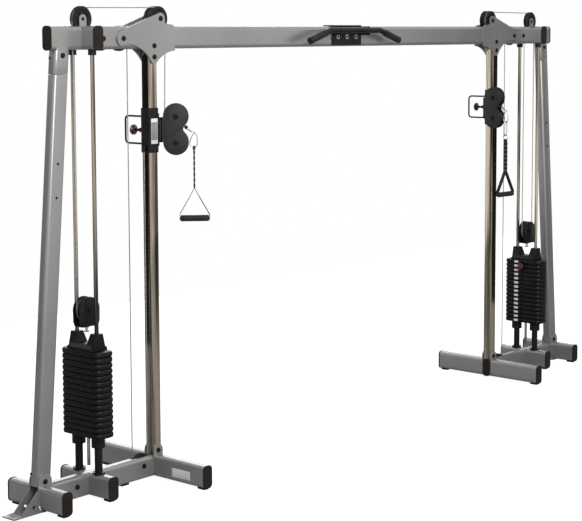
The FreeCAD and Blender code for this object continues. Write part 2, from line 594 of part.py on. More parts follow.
def anchor_plate():
    """Floor plate with a fixing hole, and a triangular web outside each face of the upright."""
    plate = block("anchor_base", "anchor_long", "anchor_wide", "anchor_thick", "anchor_start_x + anchor_long / 2",
                  0, 0)
    start_x = number(upright_x("ear_bolt_z") + " + ear_radius + seat_gap")
    toe_x = start_x + number("anchor_web_long")
    floor_z = number("anchor_thick")
    high_z = floor_z + number("anchor_web_high")
    toe = number("anchor_web_toe")
    corners = [(start_x, floor_z - 1), (toe_x, floor_z - 1), (toe_x, floor_z + toe), (start_x + toe, high_z),
               (start_x, high_z)]
    outline = [line(here, there) for here, there in zip(corners, corners[1:] + corners[:1])]
    webs = []
    for side in (-1, 1):
        y = "(%d) * (upright_wide / 2 + seat_gap + anchor_web_thick / 2) - anchor_web_thick / 2" % side
        webs.append(slab("anchor_web_%s" % ("front" if side < 0 else "back"), outline, "anchor_web_thick", y=y))
    hole = rod("anchor_hole", "anchor_hole_radius", "anchor_thick + 2", "z", "anchor_end_x - anchor_hole_inset",
               0, -1)
    window = cross_rod("anchor_web_window", "anchor_web_hole", "anchor_wide / 2",
                       upright_x("ear_bolt_z") + " + ear_radius + anchor_web_long / 3.5",
                       "anchor_thick + anchor_web_high / 4")
    return cut("right_anchor_plate", fuse("anchor_outside", [plate] + webs), [hole, window])


def gusset_outline():
    """Outline of a gusset plate seen from the front, right tower, as lines and arcs in X and Z."""
    lobe_x, lobe_z, lobe = number(FIRST_BEAM_AXLE_X), number("beam_axle_z"), number("gusset_lobe_radius")
    top_x, top_z, top = number("column_axle_x"), number("column_axle_z"), number("gusset_crown_radius")
    tip_x, tip_z = number("gusset_bolt_x"), number("gusset_tip_z")
    inner_x, low_z = number("gusset_inner_x"), number("gusset_low_z")
    beam_low, beam_high = number(BEAM_BOTTOM_Z), number("beam_top_z")
    step, step_long = number("gusset_step_rise"), number("gusset_step_long")
    # the top edge is tangent to the lobe and to the round over the axle
    slope = math.atan2(top_z - lobe_z, lobe_x - top_x)
    tilt = slope + math.asin((lobe - top) / math.hypot(lobe_x - top_x, top_z - lobe_z))
    tangent = math.pi / 2 - tilt
    lobe_high = (lobe_x + lobe * math.cos(tangent), lobe_z + lobe * math.sin(tangent))
    top_high = (top_x + top * math.cos(tangent), top_z + top * math.sin(tangent))
    lobe_low = (lobe_x + lobe * math.cos(math.radians(-62)), lobe_z + lobe * math.sin(math.radians(-62)))
    return [
        arc(lobe_low, (lobe_x + lobe * math.cos(math.radians(0)), lobe_z), lobe_high),
        line(lobe_high, top_high),
        arc(top_high, (top_x + top * math.cos(math.radians(115)), top_z + top * math.sin(math.radians(115))),
            (top_x - top, top_z)),
        line((top_x - top, top_z), (top_x - top, beam_high + step)),
        line((top_x - top, beam_high + step), (inner_x + step_long, beam_high + step / 2)),
        line((inner_x + step_long, beam_high + step / 2), (inner_x, beam_high - step / 3)),
        line((inner_x, beam_high - step / 3), (inner_x, low_z)),
        arc((inner_x, low_z), (inner_x + 66, low_z - 16), (tip_x - 16, tip_z + 8)),
        arc((tip_x - 16, tip_z + 8), (tip_x, tip_z), (tip_x + 16, tip_z + 8)),
        arc((tip_x + 16, tip_z + 8), (tip_x + 88, beam_low + 6), lobe_low),
    ]


def gusset(name, side):
    """Flat steel plate bolted against one face of beam and column."""
    y = "beam_wide / 2" if side > 0 else "-(%s)" % GUSSET_FACE_Y
    plate = slab(name + "_plate", gusset_outline(), "gusset_thick", y=y)
    return cut(name, plate, bolt_cutters(("column_axle", "gusset_bolt", "column_bolt", "first_beam_axle")))


def end_cap(name, along, x, y, z=BEAM_MIDDLE_Z):
    """Plastic plug that closes a tube, with a lip over its edge."""
    return tube(name, "beam_wide + 2 * cap_lip", "beam_tall + 2 * cap_lip", "beam_corner + cap_lip", "cap_thick",
                along, x, y, z, wall=None)


def end_caps():
    caps = [
        end_cap("beam_cap", "x", "beam_outer_x", 0),
        end_cap("cross_cap_front", "y", "stack_x", "-cross_tube_half - cap_thick"),
        end_cap("cross_cap_back", "y", "stack_x", "cross_tube_half"),
        tube("spine_cap", "beam_wide - 2", "beam_tall", "beam_corner - 1", "cap_thick", "x",
             "column_x - beam_wide / 2 - cap_thick", 0, BASE_MIDDLE_Z, wall=None),
    ]
    feet = (("inner", "column_x", "inner_foot_half"), ("middle", "stack_x", "middle_foot_half"),
            ("outer", upright_x(BASE_MIDDLE_Z), "outer_foot_half"))
    for name, x, half in feet:
        caps.append(end_cap(name + "_cap_front", "y", x, "-(%s) - cap_thick" % half, BASE_MIDDLE_Z))
        caps.append(end_cap(name + "_cap_back", "y", x, half, BASE_MIDDLE_Z))
    return caps


def foot_pads():
    """Rubber pads under the ends of the feet and under the joint of the spine."""
    pads = []
    feet = (("inner", "column_x", "inner_foot_half"), ("middle", "stack_x", "middle_foot_half"),
            ("outer", upright_x(BASE_MIDDLE_Z), "outer_foot_half"))
    for name, x, half in feet:
        for end, side in (("front", -1), ("back", 1)):
            pads.append(block("%s_pad_%s" % (name, end), "pad_wide - 14", "pad_long", "base_bottom_z", x,
                              "(%d) * (%s - pad_inset)" % (side, half), 0))
    pads.append(block("joint_pad", "pad_long", "pad_wide - 14", "base_bottom_z", "base_joint_x - pad_long / 2",
                      0, 0))
    return pads


# ---------------------------------------------------------------- weight stack of one tower

def both_rods(make):
    """Calls make with the Y place of the front rod and of the back rod."""
    return [make("front", "-guide_rod_y"), make("back", "guide_rod_y")]


def rod_supports():
    def support(end, y):
        flange = rod("rod_flange_" + end, "rod_flange_radius", "rod_flange_thick", "z", "stack_x", y, BASE_TOP_Z)
        post = rod("rod_post_" + end, "rod_post_radius", "rod_post_top_z - (%s) - rod_flange_thick" % BASE_TOP_Z,
                   "z", "stack_x", y, BASE_TOP_Z + " + rod_flange_thick")
        return fuse("rod_support_" + end, [flange, post])

    def collar(end, y):
        return rod("rod_collar_" + end, "rod_collar_radius", "rod_collar_tall", "z", "stack_x", y,
                   BEAM_BOTTOM_Z + " - rod_collar_tall")

    def bumper(end, y):
        ring = rod("bumper_ring_" + end, "bumper_radius", "plate_bottom_z - rod_post_top_z - plate_gap", "z",
                   "stack_x", y, "rod_post_top_z")
        hole = rod("bumper_hole_" + end, "guide_rod_radius + hole_clearance", "100", "z", "stack_x", y,
                   "rod_post_top_z - 1")
        return cut("bumper_" + end, ring, [hole])

    return both_rods(support) + both_rods(collar) + both_rods(bumper)


def guide_rods():
    def guide(end, y):
        return rod("guide_rod_" + end, "guide_rod_radius",
                   BEAM_BOTTOM_Z + " - rod_collar_tall - rod_post_top_z", "z", "stack_x", y, "rod_post_top_z")

    return both_rods(guide)


def rod_holes(prefix, low_z, tall):
    return both_rods(lambda end, y: rod(prefix + "_" + end, "rod_hole_radius", tall, "z", "stack_x", y, low_z))


def weight_plate(index):
    """One plate: bevelled all round, bored for the rods and the selector rod, slotted for the pin."""
    name = "plate_%d" % (index + 1)
    low_z = "plate_bottom_z + %d * plate_pitch" % index
    tall = "plate_pitch - plate_gap"
    slabby = doc.addObject("Part::Box", name + "_block")
    slabby.setExpression("Length", formula("2 * stack_half_long"))
    slabby.setExpression("Width", formula("2 * stack_half_wide"))
    slabby.setExpression("Height", formula(tall))
    place(slabby, "stack_x - stack_half_long", "-stack_half_wide", low_z)
    doc.recompute()
    bevelled = doc.addObject("Part::Chamfer", name + "_bevelled")
    bevelled.Base = slabby
    bevel = number("plate_bevel")
    level = [number_of for number_of, edge in enumerate(slabby.Shape.Edges, start=1)
             if abs(edge.tangentAt(edge.FirstParameter).z) < 0.5]
    bevelled.Edges = [(edge, bevel, bevel) for edge in level]
    middle = rod(name + "_bore", "selector_hole_radius", "plate_pitch + 2", "z", "stack_x", 0, low_z + " - 1")
    pin_slot = slot(name + "_slot", "stack_x - stack_half_long - 1", "stack_x", "selector_slot_wide",
                    low_z + " + (plate_pitch - plate_gap - selector_slot_wide) / 2",
                    low_z + " + (plate_pitch - plate_gap + selector_slot_wide) / 2")
    holes = rod_holes(name + "_rod_hole", low_z + " - 1", "plate_pitch + 2")
    return cut(name, bevelled, holes + [middle, pin_slot])


def head_plate():
    """Cast head plate: a bar with sloping shoulders and a four-sided, tapered boss at each guide rod."""
    x, low, high = number("stack_x"), number("stack_top_z"), number("head_top_z")
    half_wide, half_long, edge = number("head_half_wide"), number("head_half_long"), number("head_edge_tall")
    rod_y, boss_foot, boss_top = number("guide_rod_y"), number("head_boss_foot"), number("head_boss_top")
    boss_long = number("head_boss_foot_long")

    def level(long, wide, y, z):
        corners = [Vector(x + i * long, y + j * wide, z) for i, j in ((-1, -1), (1, -1), (1, 1), (-1, 1))]
        return Part.makePolygon(corners + corners[:1])

    slope = number("head_base_tall") - edge
    bar = coded("head_bar", Part.makeLoft([
        level(half_long, half_wide, 0, low),
        level(half_long, half_wide, 0, low + edge),
        level(half_long - slope, half_wide - slope, 0, low + edge + slope),
    ], True, True))
    bosses = [coded("head_boss_" + end, Part.makeLoft([
        level(boss_long, boss_foot, side * (half_wide - boss_foot), low + edge),
        level(boss_top, boss_top, side * rod_y, high),
    ], True, True)) for end, side in (("front", -1), ("back", 1))]
    whole = fuse("head_outside", [bar] + bosses)
    return cut("right_head_plate", whole, rod_holes("head_rod_hole", "stack_top_z - 1", "100"))


def selector_rod():
    """Rod that hangs from the head plate through the plates, cross-bored at every plate for the pin."""
    bar = rod("selector_bar", "selector_rod_radius", "stack_top_z - selector_rod_low_z", "z", "stack_x", 0,
              "selector_rod_low_z")
    bores = [rod("selector_bore_%d" % (index + 1), "selector_pin_radius + 0.4", "2 * selector_rod_radius + 4", "x",
                 "stack_x - selector_rod_radius - 2", 0,
                 "plate_bottom_z + %d * plate_pitch + (plate_pitch - plate_gap) / 2" % index)
             for index in range(int(number("plate_count")))]
    return cut("right_selector_rod", bar, bores)


def selector_pin():
    """Pin in the lowest lifted plate, with a round knob on the inner face of the stack."""
    z = "lifted_low_z + (plate_pitch - plate_gap) / 2"
    face = "stack_x - stack_half_long"
    pin = rod("selector_shaft", "selector_pin_radius", "selector_neck_long + stack_half_long + selector_rod_radius - 1.5",
              "x",
              face + " - selector_neck_long", 0, z)
    knob = rod("selector_knob", "selector_knob_radius", "selector_knob_thick", "x",
               face + " - selector_neck_long - selector_knob_thick", 0, z)
    collar = rod("selector_neck", "selector_pin_radius + 4", "selector_neck_long - hole_clearance", "x",
                 face + " - selector_neck_long", 0, z)
    return fuse("right_selector_pin", [pin, knob, collar])


def yoke():
    """Cage of the floating pulley: two arched plates, a web under the pulley and an eye bolt to the head plate."""
    arch = []
    half, thick = "yoke_plate_half", "yoke_plate_thick"
    for name, side in (("front", -1), ("back", 1)):
        y = "(%d) * (yoke_half_thick - yoke_plate_thick / 2)" % side
        plate = block("yoke_side_" + name, "2 * yoke_plate_half", thick, "floating_z - yoke_bottom_z", FLOATING_X,
                      y, "yoke_bottom_z")
        crown = cross_rod("yoke_crown_" + name, "yoke_plate_half + 9", "yoke_plate_thick / 2", FLOATING_X,
                          "floating_z", y)
        arch += [plate, crown]
    web = block("yoke_web", "2 * yoke_plate_half", "2 * yoke_half_thick", "yoke_web_thick", FLOATING_X, 0,
                "yoke_bottom_z")
    axle = cross_rod("yoke_axle", "axle_radius", "yoke_half_thick + 4", FLOATING_X, "floating_z")
    heads = [rod("yoke_head_front", "bolt_head_radius", "4", "y", FLOATING_X, "-yoke_half_thick - 4", "floating_z"),
             rod("yoke_head_back", "bolt_head_radius", "4", "y", FLOATING_X, "yoke_half_thick", "floating_z")]
    low = "stack_top_z + head_base_tall"
    stud = rod("yoke_stud", "eye_bolt_radius", "yoke_bottom_z - (%s)" % low, "z", FLOATING_X, 0, low)
    nut = rod("yoke_nut", "eye_bolt_radius + 5", "10", "z", FLOATING_X, 0, low)
    boss = rod("yoke_boss", "eye_bolt_radius + 4", "14", "z", FLOATING_X, 0, "yoke_bottom_z - 14")
    return fuse("right_pulley_yoke", arch + [web, axle] + heads + [stud, nut, boss])


# ---------------------------------------------------------------- carriage

def carriage():
    """Sleeve that slides on the column, with hinge lugs, cable anchor, pin barrel and grab handle."""
    low_z = "carriage_z - sleeve_down"
    tall = "sleeve_up + sleeve_down"
    sleeve = tube("sleeve_outside", "2 * sleeve_half", "2 * sleeve_half", "column_corner + 4", tall, "z",
                  "column_x", 0, low_z, wall=None)
    space = tube("sleeve_space", "column_wide + 2 * sleeve_clearance", "column_wide + 2 * sleeve_clearance",
                 "column_corner", tall + " + 2", "z", "column_x", 0, low_z + " - 1", wall=None)
    step = block("sleeve_step", "8", "2 * sleeve_half - 12", "145", "column_x - sleeve_half - 2", 0,
                 "carriage_z - 70")
    hinge_x = "column_x - swivel_reach"
    lugs = []
    for name, z in (("low", "carriage_z - barrel_half - lug_thick - lug_gap"),
                    ("high", "carriage_z + barrel_half + lug_gap")):
        web = block("lug_web_" + name, "swivel_reach - sleeve_half + 3", "24", "lug_thick",
                    "column_x - (swivel_reach + sleeve_half - 3) / 2", 0, z)
        end = rod("lug_end_" + name, "12", "lug_thick", "z", hinge_x, 0, z)
        lugs += [web, end]
    hinge_pin = rod("hinge_pin", "hinge_pin_radius", "2 * (barrel_half + lug_thick + lug_gap)", "z", hinge_x, 0,
                    "carriage_z - barrel_half - lug_thick - lug_gap")
    anchor = rod("cable_anchor", "7", "24", "z", "strand_x - 2 * line_radius", 0, low_z + " + 6")
    barrel = rod("pin_barrel", "pin_barrel_radius", "pin_barrel_y - sleeve_half + 3", "y", "column_x",
                 "sleeve_half - 3", "carriage_z")
    barrel_hole = rod("pin_barrel_hole", "pin_stem_radius + 0.4", "pin_barrel_y + 5 - 20", "y", "column_x", "20",
                      "carriage_z")
    grab = swept("grab_bar", grab_wire(), number("grab_rod_radius"))
    whole = fuse("carriage_outside", [sleeve, step] + lugs + [hinge_pin, anchor, barrel, grab])
    return cut("right_carriage", whole, [space, barrel_hole])


def grab_wire():
    """Path of the U-shaped grab handle behind the carriage."""
    x, back = number("column_x"), number("grab_reach_y")
    low, high = number("carriage_z - grab_half"), number("carriage_z + grab_half")
    start = number("sleeve_half") - 2
    points = [Vector(x, start, low), Vector(x, back, low), Vector(x, back, high), Vector(x, start, high)]
    return route(points, [number("grab_bend")] * 2)


def pop_pin():
    """Spring pin that locks the carriage to a hole of the column, drawn back by its knob."""
    z = "carriage_z"
    nose = rod("pin_nose", "pin_nose_radius", "pin_stem_y - pin_nose_y", "y", "column_x", "pin_nose_y", z)
    stem = rod("pin_stem", "pin_stem_radius", "pin_knob_y - pin_stem_y", "y", "column_x", "pin_stem_y", z)
    knob = rod("pin_knob", "pin_knob_radius", "pin_knob_thick", "y", "column_x", "pin_knob_y", z)
    return fuse("right_pop_pin", [nose, stem, knob])


# ---------------------------------------------------------------- swivel head, in a frame of its own:
# the hinge axis is the local Z axis and the head points along local +X

def head_side(name, side):
    """Figure-of-eight side plate: two round cheeks with a straight back edge."""
    y = "(%d) * (head_plate_y + head_plate_thick / 2)" % side
    high = cross_rod(name + "_high", "head_plate_radius", "head_plate_thick / 2", "head_offset",
                     "carriage_z + head_rise", y)
    low = cross_rod(name + "_low", "head_plate_radius", "head_plate_thick / 2", "head_offset",
                    "carriage_z - head_drop", y)
    back = block(name + "_back", "head_plate_radius - 8", "head_plate_thick", "head_rise + head_drop",
                 "head_offset - head_plate_radius + (head_plate_radius - 8) / 2", y, "carriage_z - head_drop")
    return fuse(name, [high, low, back])


def swivel_housing():
    """Both side plates, the barrel on the hinge pin and the two pulley axles."""
    barrel = rod("head_barrel", "barrel_radius", "2 * barrel_half", "z", 0, 0, "carriage_z - barrel_half")
    web = block("head_web", "10.6", "2 * (head_plate_y + head_plate_thick)", "2 * barrel_half", "9", 0,
                "carriage_z - barrel_half")
    bore = rod("head_bore", "hinge_pin_radius + axle_clearance", "2 * barrel_half + 2", "z", 0, 0,
               "carriage_z - barrel_half - 1")
    axles = []
    for name, z in (("high", "carriage_z + head_rise"), ("low", "carriage_z - head_drop")):
        reach = "head_plate_y + head_plate_thick"
        axles.append(cross_rod("head_axle_" + name, "axle_radius", reach, "head_offset", z))
        axles.append(rod("head_bolt_" + name, "bolt_head_radius", "4", "y", "head_offset", "-(%s) - 4" % reach, z))
        axles.append(rod("head_nut_" + name, "bolt_head_radius", "4", "y", "head_offset", reach, z))
    solid = fuse("housing_outside", [head_side("head_front", -1), head_side("head_back", 1), barrel, web] + axles)
    return cut("housing", solid, [bore])


def head_cable():
    """The cable inside the head: round the upper pulley and out between the two."""
    reach, turn = number("head_offset"), number("head_line_radius")
    centre_z = number("carriage_z + head_rise")
    end_x = number("ball_reach - ball_radius - cable_gap")
    start = Vector(reach - turn, 0, centre_z)
    middle = Vector(reach - turn * math.cos(math.pi / 4), 0, centre_z - turn * math.sin(math.pi / 4))
    low = Vector(reach, 0, centre_z - turn)
    wire = Part.Wire([Part.Arc(start, middle, low).toShape(),
                      Part.LineSegment(low, Vector(end_x, 0, centre_z - turn)).toShape()])
    return swept("head_cable", wire, number("cable_radius"))


def cable_end():
    """Ball stop, drooping ferrule and eye at the end of the cable."""
    start = Vector(number("ball_reach"), 0, number("carriage_z + head_rise - head_line_radius"))
    eye = Vector(number("eye_reach"), 0, number("eye_z"))
    way = eye - start
    sphere = Part.makeSphere(number("ball_radius"))
    sphere.Placement = Placement(start, Rotation(Vector(0, 0, 1), way))
    ball = coded("ball", sphere)
    long = way.Length - number("eye_ring")
    shank = coded("ferrule", Part.makeCylinder(number("ferrule_radius"), long, start, way))
    ring = cross_rod("eye_outside", "eye_ring + eye_wire", "eye_wire", "eye_reach", "eye_z")
    hole = cross_rod("eye_hole", "eye_ring - eye_wire", "eye_wire + 5", "eye_reach", "eye_z")
    return cut("cable_end", fuse("cable_end_outside", [ball, shank, ring]), [hole])


def loop_wire(x, high, tall, wide, bend, plane="yz"):
    """Closed upright loop of wire with round corners, hung from its top centre."""
    half = wide / 2
    flat = [(0, high), (half, high), (half, high - tall), (-half, high - tall), (-half, high), (0, high)]
    points = [Vector(x, a, b) if plane == "yz" else Vector(x + a, 0, b) for a, b in flat]
    return route(points, [bend] * 4)


def hook(name, with_link):
    """Snap hook in the eye, and on the right the longer link below it. Gives the height of the lowest wire."""
    wire, gap = number("hook_wire"), number("seat_gap")
    tall, wide = number("hook_tall") - 2 * wire, number("hook_wide") - 2 * wire
    x = number("eye_reach")
    high = number("eye_z - (eye_ring - eye_wire - hook_wire - seat_gap)")
    loop = swept(name + "_hook", loop_wire(x, high, tall, wide, 6), wire)
    low = high - tall
    if not with_link:
        return loop, low, wire
    link_wire, link_tall = number("link_wire"), number("link_tall")
    link_high = low + wire + link_wire + gap
    link = swept(name + "_link", loop_wire(x, link_high, link_tall, number("link_wide"), 4.5, "xz"), link_wire)
    return group(name, [loop, link]), link_high - link_tall, link_wire


def strap(name, wire_z, wire, turned):
    """Webbing: a loop round the lowest wire, a flat stem, a bridle and the core that carries the grip."""
    x = number("eye_reach")
    thick, wide = number("strap_thick"), number("strap_wide")
    leg = number("bridle_thick")
    loop_inside = number("strap_loop")
    loop_z = wire_z - (loop_inside - wire - number("seat_gap"))
    stem_high = loop_z - loop_inside - 1
    stem_low = wire_z - number("strap_long")
    core_z = stem_low - number("bridle_drop")
    low = core_z - number("core_radius")
    half = number("grip_half + seat_gap") + leg
    turn_z = core_z + number("grip_radius") + 3
    outer = [(thick / 2, stem_high), (thick / 2, stem_low), (half, turn_z), (half, low), (half - leg, low),
             (half - leg, turn_z - 1), (0, stem_low - leg * 1.8), (-half + leg, turn_z - 1), (-half + leg, low),
             (-half, low), (-half, turn_z), (-thick / 2, stem_low), (-thick / 2, stem_high)]
    rows = [Vector(x, a, b) if turned else Vector(x + a, 0, b) for a, b in outer]
    face = Part.Face(Part.makePolygon(rows + rows[:1]))
    across = Vector(1, 0, 0) if turned else Vector(0, 1, 0)
    along = Vector(0, 1, 0) if turned else Vector(1, 0, 0)
    face.translate(across * (-wide / 2))
    web = face.extrude(across * wide)
    loop_wide = number("strap_loop_wide")
    centre = Vector(x, 0, loop_z) - across * (loop_wide / 2)
    ring = Part.makeCylinder(loop_inside + 2.5, loop_wide, centre, across)
    ring = ring.cut(Part.makeCylinder(loop_inside, loop_wide, centre, across))
    core = Part.makeCylinder(number("core_radius"), 2 * half, Vector(x, 0, core_z) - along * half, along)
    return coded(name, web.fuse([ring, core]).removeSplitter()), core_z


def grip(name, core_z, turned):
    """Foam-covered tube that turns on the core of the strap."""
    x = number("eye_reach")
    half, radius = number("grip_half"), number("grip_radius")
    direction = Vector(0, 1, 0) if turned else Vector(1, 0, 0)
    start = Vector(x, 0, core_z) - direction * half
    foam = Part.makeCylinder(radius, 2 * half, start, direction)
    return coded(name, foam.cut(Part.makeCylinder(number("core_radius + seat_gap"), 2 * half, start, direction)))


def turned_head(name, source, side):
    """A copy of a head-frame piece at one tower's hinge and angle."""
    item = doc.addObject("Part::Compound", name)
    item.Links = [source]
    item.setExpression("Placement.Base.x", formula("(%d) * (column_x - swivel_reach)" % side))
    angle = "right_swivel_angle" if side > 0 else "left_swivel_angle"
    item.Placement.Rotation = Rotation(Vector(0, 0, 1), number(angle))
    item.setExpression("Placement.Rotation.Angle", formula(angle))
    return item


# ---------------------------------------------------------------- cables of one tower

def cable_line(name, points, radii):
    return swept(name, route(points, radii), number("cable_radius"))


def fixed_cables():
    """Cable parts that keep their place: base pulley to beam pulleys, and over both top pulleys."""
    turn = number("line_radius")
    low_z, beam_z = number("floor_axle_z"), number("beam_axle_z")
    first_x, up_x = number("strand_x - 2 * line_radius"), number("strand_x")
    down_x = number(DOWN_STRAND_X)
    bottom, top = low_z - turn, beam_z + turn
    rise = [Vector(first_x, 0, low_z), Vector(first_x, 0, bottom), Vector(up_x, 0, bottom), Vector(up_x, 0, top),
            Vector(down_x, 0, top), Vector(down_x, 0, beam_z)]
    up_side = cable_line("lower_cable", rise, [turn - 0.01, turn - 0.01, turn, turn - 0.01])
    stack_z, column_z = number("stack_axle_z"), number("column_axle_z")
    outer_x, inner_x = number(UP_STRAND_X), number("column_axle_x - line_radius")
    y = -number("column_pulley_y")
    past = number("pulley_half_thick")
    over = [Vector(outer_x, 0, beam_z + number("cable_gap")), Vector(outer_x, 0, stack_z + turn),
            Vector(outer_x - turn - past, 0, stack_z + turn), Vector(inner_x + turn + past, y, column_z + turn),
            Vector(inner_x, y, column_z + turn), Vector(inner_x, y, column_z - 1)]
    return [up_side, cable_line("upper_cable", over, [turn, 60, 60, turn])]


def stack_cable():
    """The bight that carries the floating pulley."""
    turn = number("floating_line_radius")
    low = number("floating_z") - turn
    high = number("beam_axle_z - cable_gap")
    points = [Vector(number(DOWN_STRAND_X), 0, high), Vector(number(DOWN_STRAND_X), 0, low),
              Vector(number(UP_STRAND_X), 0, low), Vector(number(UP_STRAND_X), 0, high)]
    return cable_line("right_stack_cable", points, [turn - 0.01] * 2)


def strand(name, start, end):
    return coded(name, Part.makeCylinder(number("cable_radius"), (end - start).Length, start, end - start))


def carriage_cables(name, side):
    """Anchor strand below the carriage, and the strand from the column pulley into the head."""
    anchor_x = side * number("strand_x - 2 * line_radius")
    low = strand(name + "_anchor", Vector(anchor_x, 0, number("floor_axle_z + cable_gap")),
                 Vector(anchor_x, 0, number("carriage_z - sleeve_down + 6")))
    angle = math.radians(number("right_swivel_angle" if side > 0 else "left_swivel_angle"))
    reach = number("head_offset - head_line_radius")
    foot = Vector(side * number("column_x - swivel_reach") + reach * math.cos(angle), reach * math.sin(angle),
                  number("carriage_z + head_rise"))
    top = Vector(side * number("column_axle_x - line_radius"), -number("column_pulley_y"),
                 number("column_axle_z - 1"))
    slack = (top - foot).normalize() * number("cable_gap")
    foot += slack
    top -= slack
    return group(name, [low, strand(name + "_drop", foot, top)])


# ---------------------------------------------------------------- pull-up bar

def pull_up_bar():
    """Bent bar welded to a saddle that is screwed over the crossbeam."""
    y, z, half = number("pull_bar_y"), number("pull_bar_z"), number("pull_bar_half")
    out, drop = number("pull_arm_out"), number("pull_arm_drop")
    points = [Vector(-half - out, y, z - drop), Vector(-half, y, z), Vector(half, y, z),
              Vector(half + out, y, z - drop)]
    bar = swept("pull_bar", route(points, [60, 60]), number("pull_bar_radius"))
    front = block("saddle_front", "2 * saddle_half", "saddle_thick", "beam_top_z - saddle_low_z", 0,
                  "-beam_wide / 2 - saddle_thick / 2", "saddle_low_z")
    back = block("saddle_back", "2 * saddle_half", "saddle_thick", "beam_top_z - saddle_low_z", 0,
                 "beam_wide / 2 + saddle_thick / 2", "saddle_low_z")
    top = block("saddle_top", "2 * saddle_half", "beam_wide + 2 * saddle_thick", "saddle_thick", 0, 0, "beam_top_z")
    arms = []
    for name, side in (("left", -1), ("right", 1)):
        arms.append(block("saddle_arm_" + name, "saddle_thick", "-pull_bar_y - beam_wide / 2 - saddle_thick + 1",
                          "44", "(%d) * (saddle_half - saddle_thick / 2)" % side,
                          "(pull_bar_y - beam_wide / 2 - saddle_thick + 1) / 2", "pull_bar_z - 24"))
    return fuse("pull_up_bar", [bar, front, back, top] + arms)


def pull_up_grips():
    """Rubber sleeves on the two drooping arms."""
    half, out, drop = number("pull_bar_half"), number("pull_arm_out"), number("pull_arm_drop")
    y, z = number("pull_bar_y"), number("pull_bar_z")
    made = []
    for name, side in (("left", -1), ("right", 1)):
        elbow = Vector(side * half, y, z)
        tip = Vector(side * (half + out), y, z - drop)
        way = (tip - elbow).normalize()
        start = elbow + way * number("pull_arm_start")
        long = (tip - start).Length + 4
        sleeve = Part.makeCylinder(number("pull_grip_radius"), long, start, way)
        bore = Part.makeCylinder(number("pull_bar_radius"), (tip - start).Length, start, way)
        made.append(coded("pull_grip_" + name, sleeve.cut(bore)))
    return made


def saddle_screws():
    made = []
    for index in (-1, 0, 1):
        made.append(rod("saddle_screw_%d" % (index + 2), "bolt_head_radius + 1", "bolt_head_thick", "y",
                        "(%d) * screw_spacing" % index, "-beam_wide / 2 - saddle_thick - bolt_head_thick",
                        "screw_z"))
    return made


# ---------------------------------------------------------------- assembly

NODES = []


def node(label, item):
    item.Label = label
    NODES.append(item)
    return item


def pair(label, items):
    """One node with the right-hand solids and their mirror images."""
    left = [mirrored(item.Name + "_left", item) for item in items]
    return node(label, group(label + "_set", items + left))


def two_sided(label, item):
    """A right-hand node and its left-hand mirror image."""
    node("right_" + label, item)
    node("left_" + label, mirrored("left_" + label, item))


tower_top = top_frame()
node("top_beams", group("top_beams_set", [crossbeam(), tower_top, mirrored("left_top_frame", tower_top)]))
inner_base, outer_base = base_frames()
pair("base_frames", [inner_base, outer_base, outer_foot_half("outer_foot_front", -1),
                     outer_foot_half("outer_foot_back", 1)])
pair("columns", [column()])
pair("uprights", [upright()])
pair("anchor_plates", [anchor_plate()])
pair("gusset_plates", [gusset("gusset_front", -1), gusset("gusset_back", 1)])
pair("end_caps", end_caps() + foot_pads())
tower_bolts = bolts()
bolt_copies = [mirrored(item.Name + "_left", item) for item in tower_bolts]
node("frame_bolts", group("frame_bolts_set", tower_bolts + bolt_copies + saddle_screws()))
pair("guide_rods", guide_rods())
pair("rod_supports", rod_supports())
node("pull_up_bar", pull_up_bar())
node("pull_up_grips", group("pull_up_grips_set", pull_up_grips()))
resting_count = int(number("plate_count - lifted_count"))
pair("resting_plates", [weight_plate(index) for index in range(resting_count)])
pair("fixed_cables", fixed_cables())

lifted = [weight_plate(index) for index in range(resting_count, int(number("plate_count")))]
two_sided("lifted_plates", group("right_lifted_set", lifted))
two_sided("head_plate", head_plate())
two_sided("selector_rod", selector_rod())
two_sided("selector_pin", selector_pin())
two_sided("pulley_yoke", yoke())
two_sided("stack_cable", stack_cable())
two_sided("floating_pulley", pulley("floating_wheel", "floating_flange_radius", "floating_line_radius", FLOATING_X,
                                    0, "floating_z"))
two_sided("stack_pulley", pulley("stack_wheel", "flange_radius", "line_radius", STACK_AXLE_X, 0, "stack_axle_z"))
two_sided("first_beam_pulley", pulley("first_beam_wheel", "flange_radius", "line_radius", FIRST_BEAM_AXLE_X, 0,
                                      "beam_axle_z"))
two_sided("second_beam_pulley", pulley("second_beam_wheel", "beam_flange_radius", "line_radius",
                                       SECOND_BEAM_AXLE_X, 0, "beam_axle_z"))
two_sided("floor_pulley", pulley("floor_wheel", "flange_radius", "line_radius", FLOOR_AXLE_X, 0, "floor_axle_z"))
column_wheels = [pulley("column_wheel_front", "flange_radius", "line_radius", "column_axle_x",
                        "-column_pulley_y", "column_axle_z"),
                 pulley("column_wheel_back", "flange_radius", "line_radius", "column_axle_x",
                        "column_pulley_y", "column_axle_z")]
two_sided("column_pulleys", group("right_column_wheels", column_wheels))
two_sided("carriage", carriage())
two_sided("pop_pin", pop_pin())

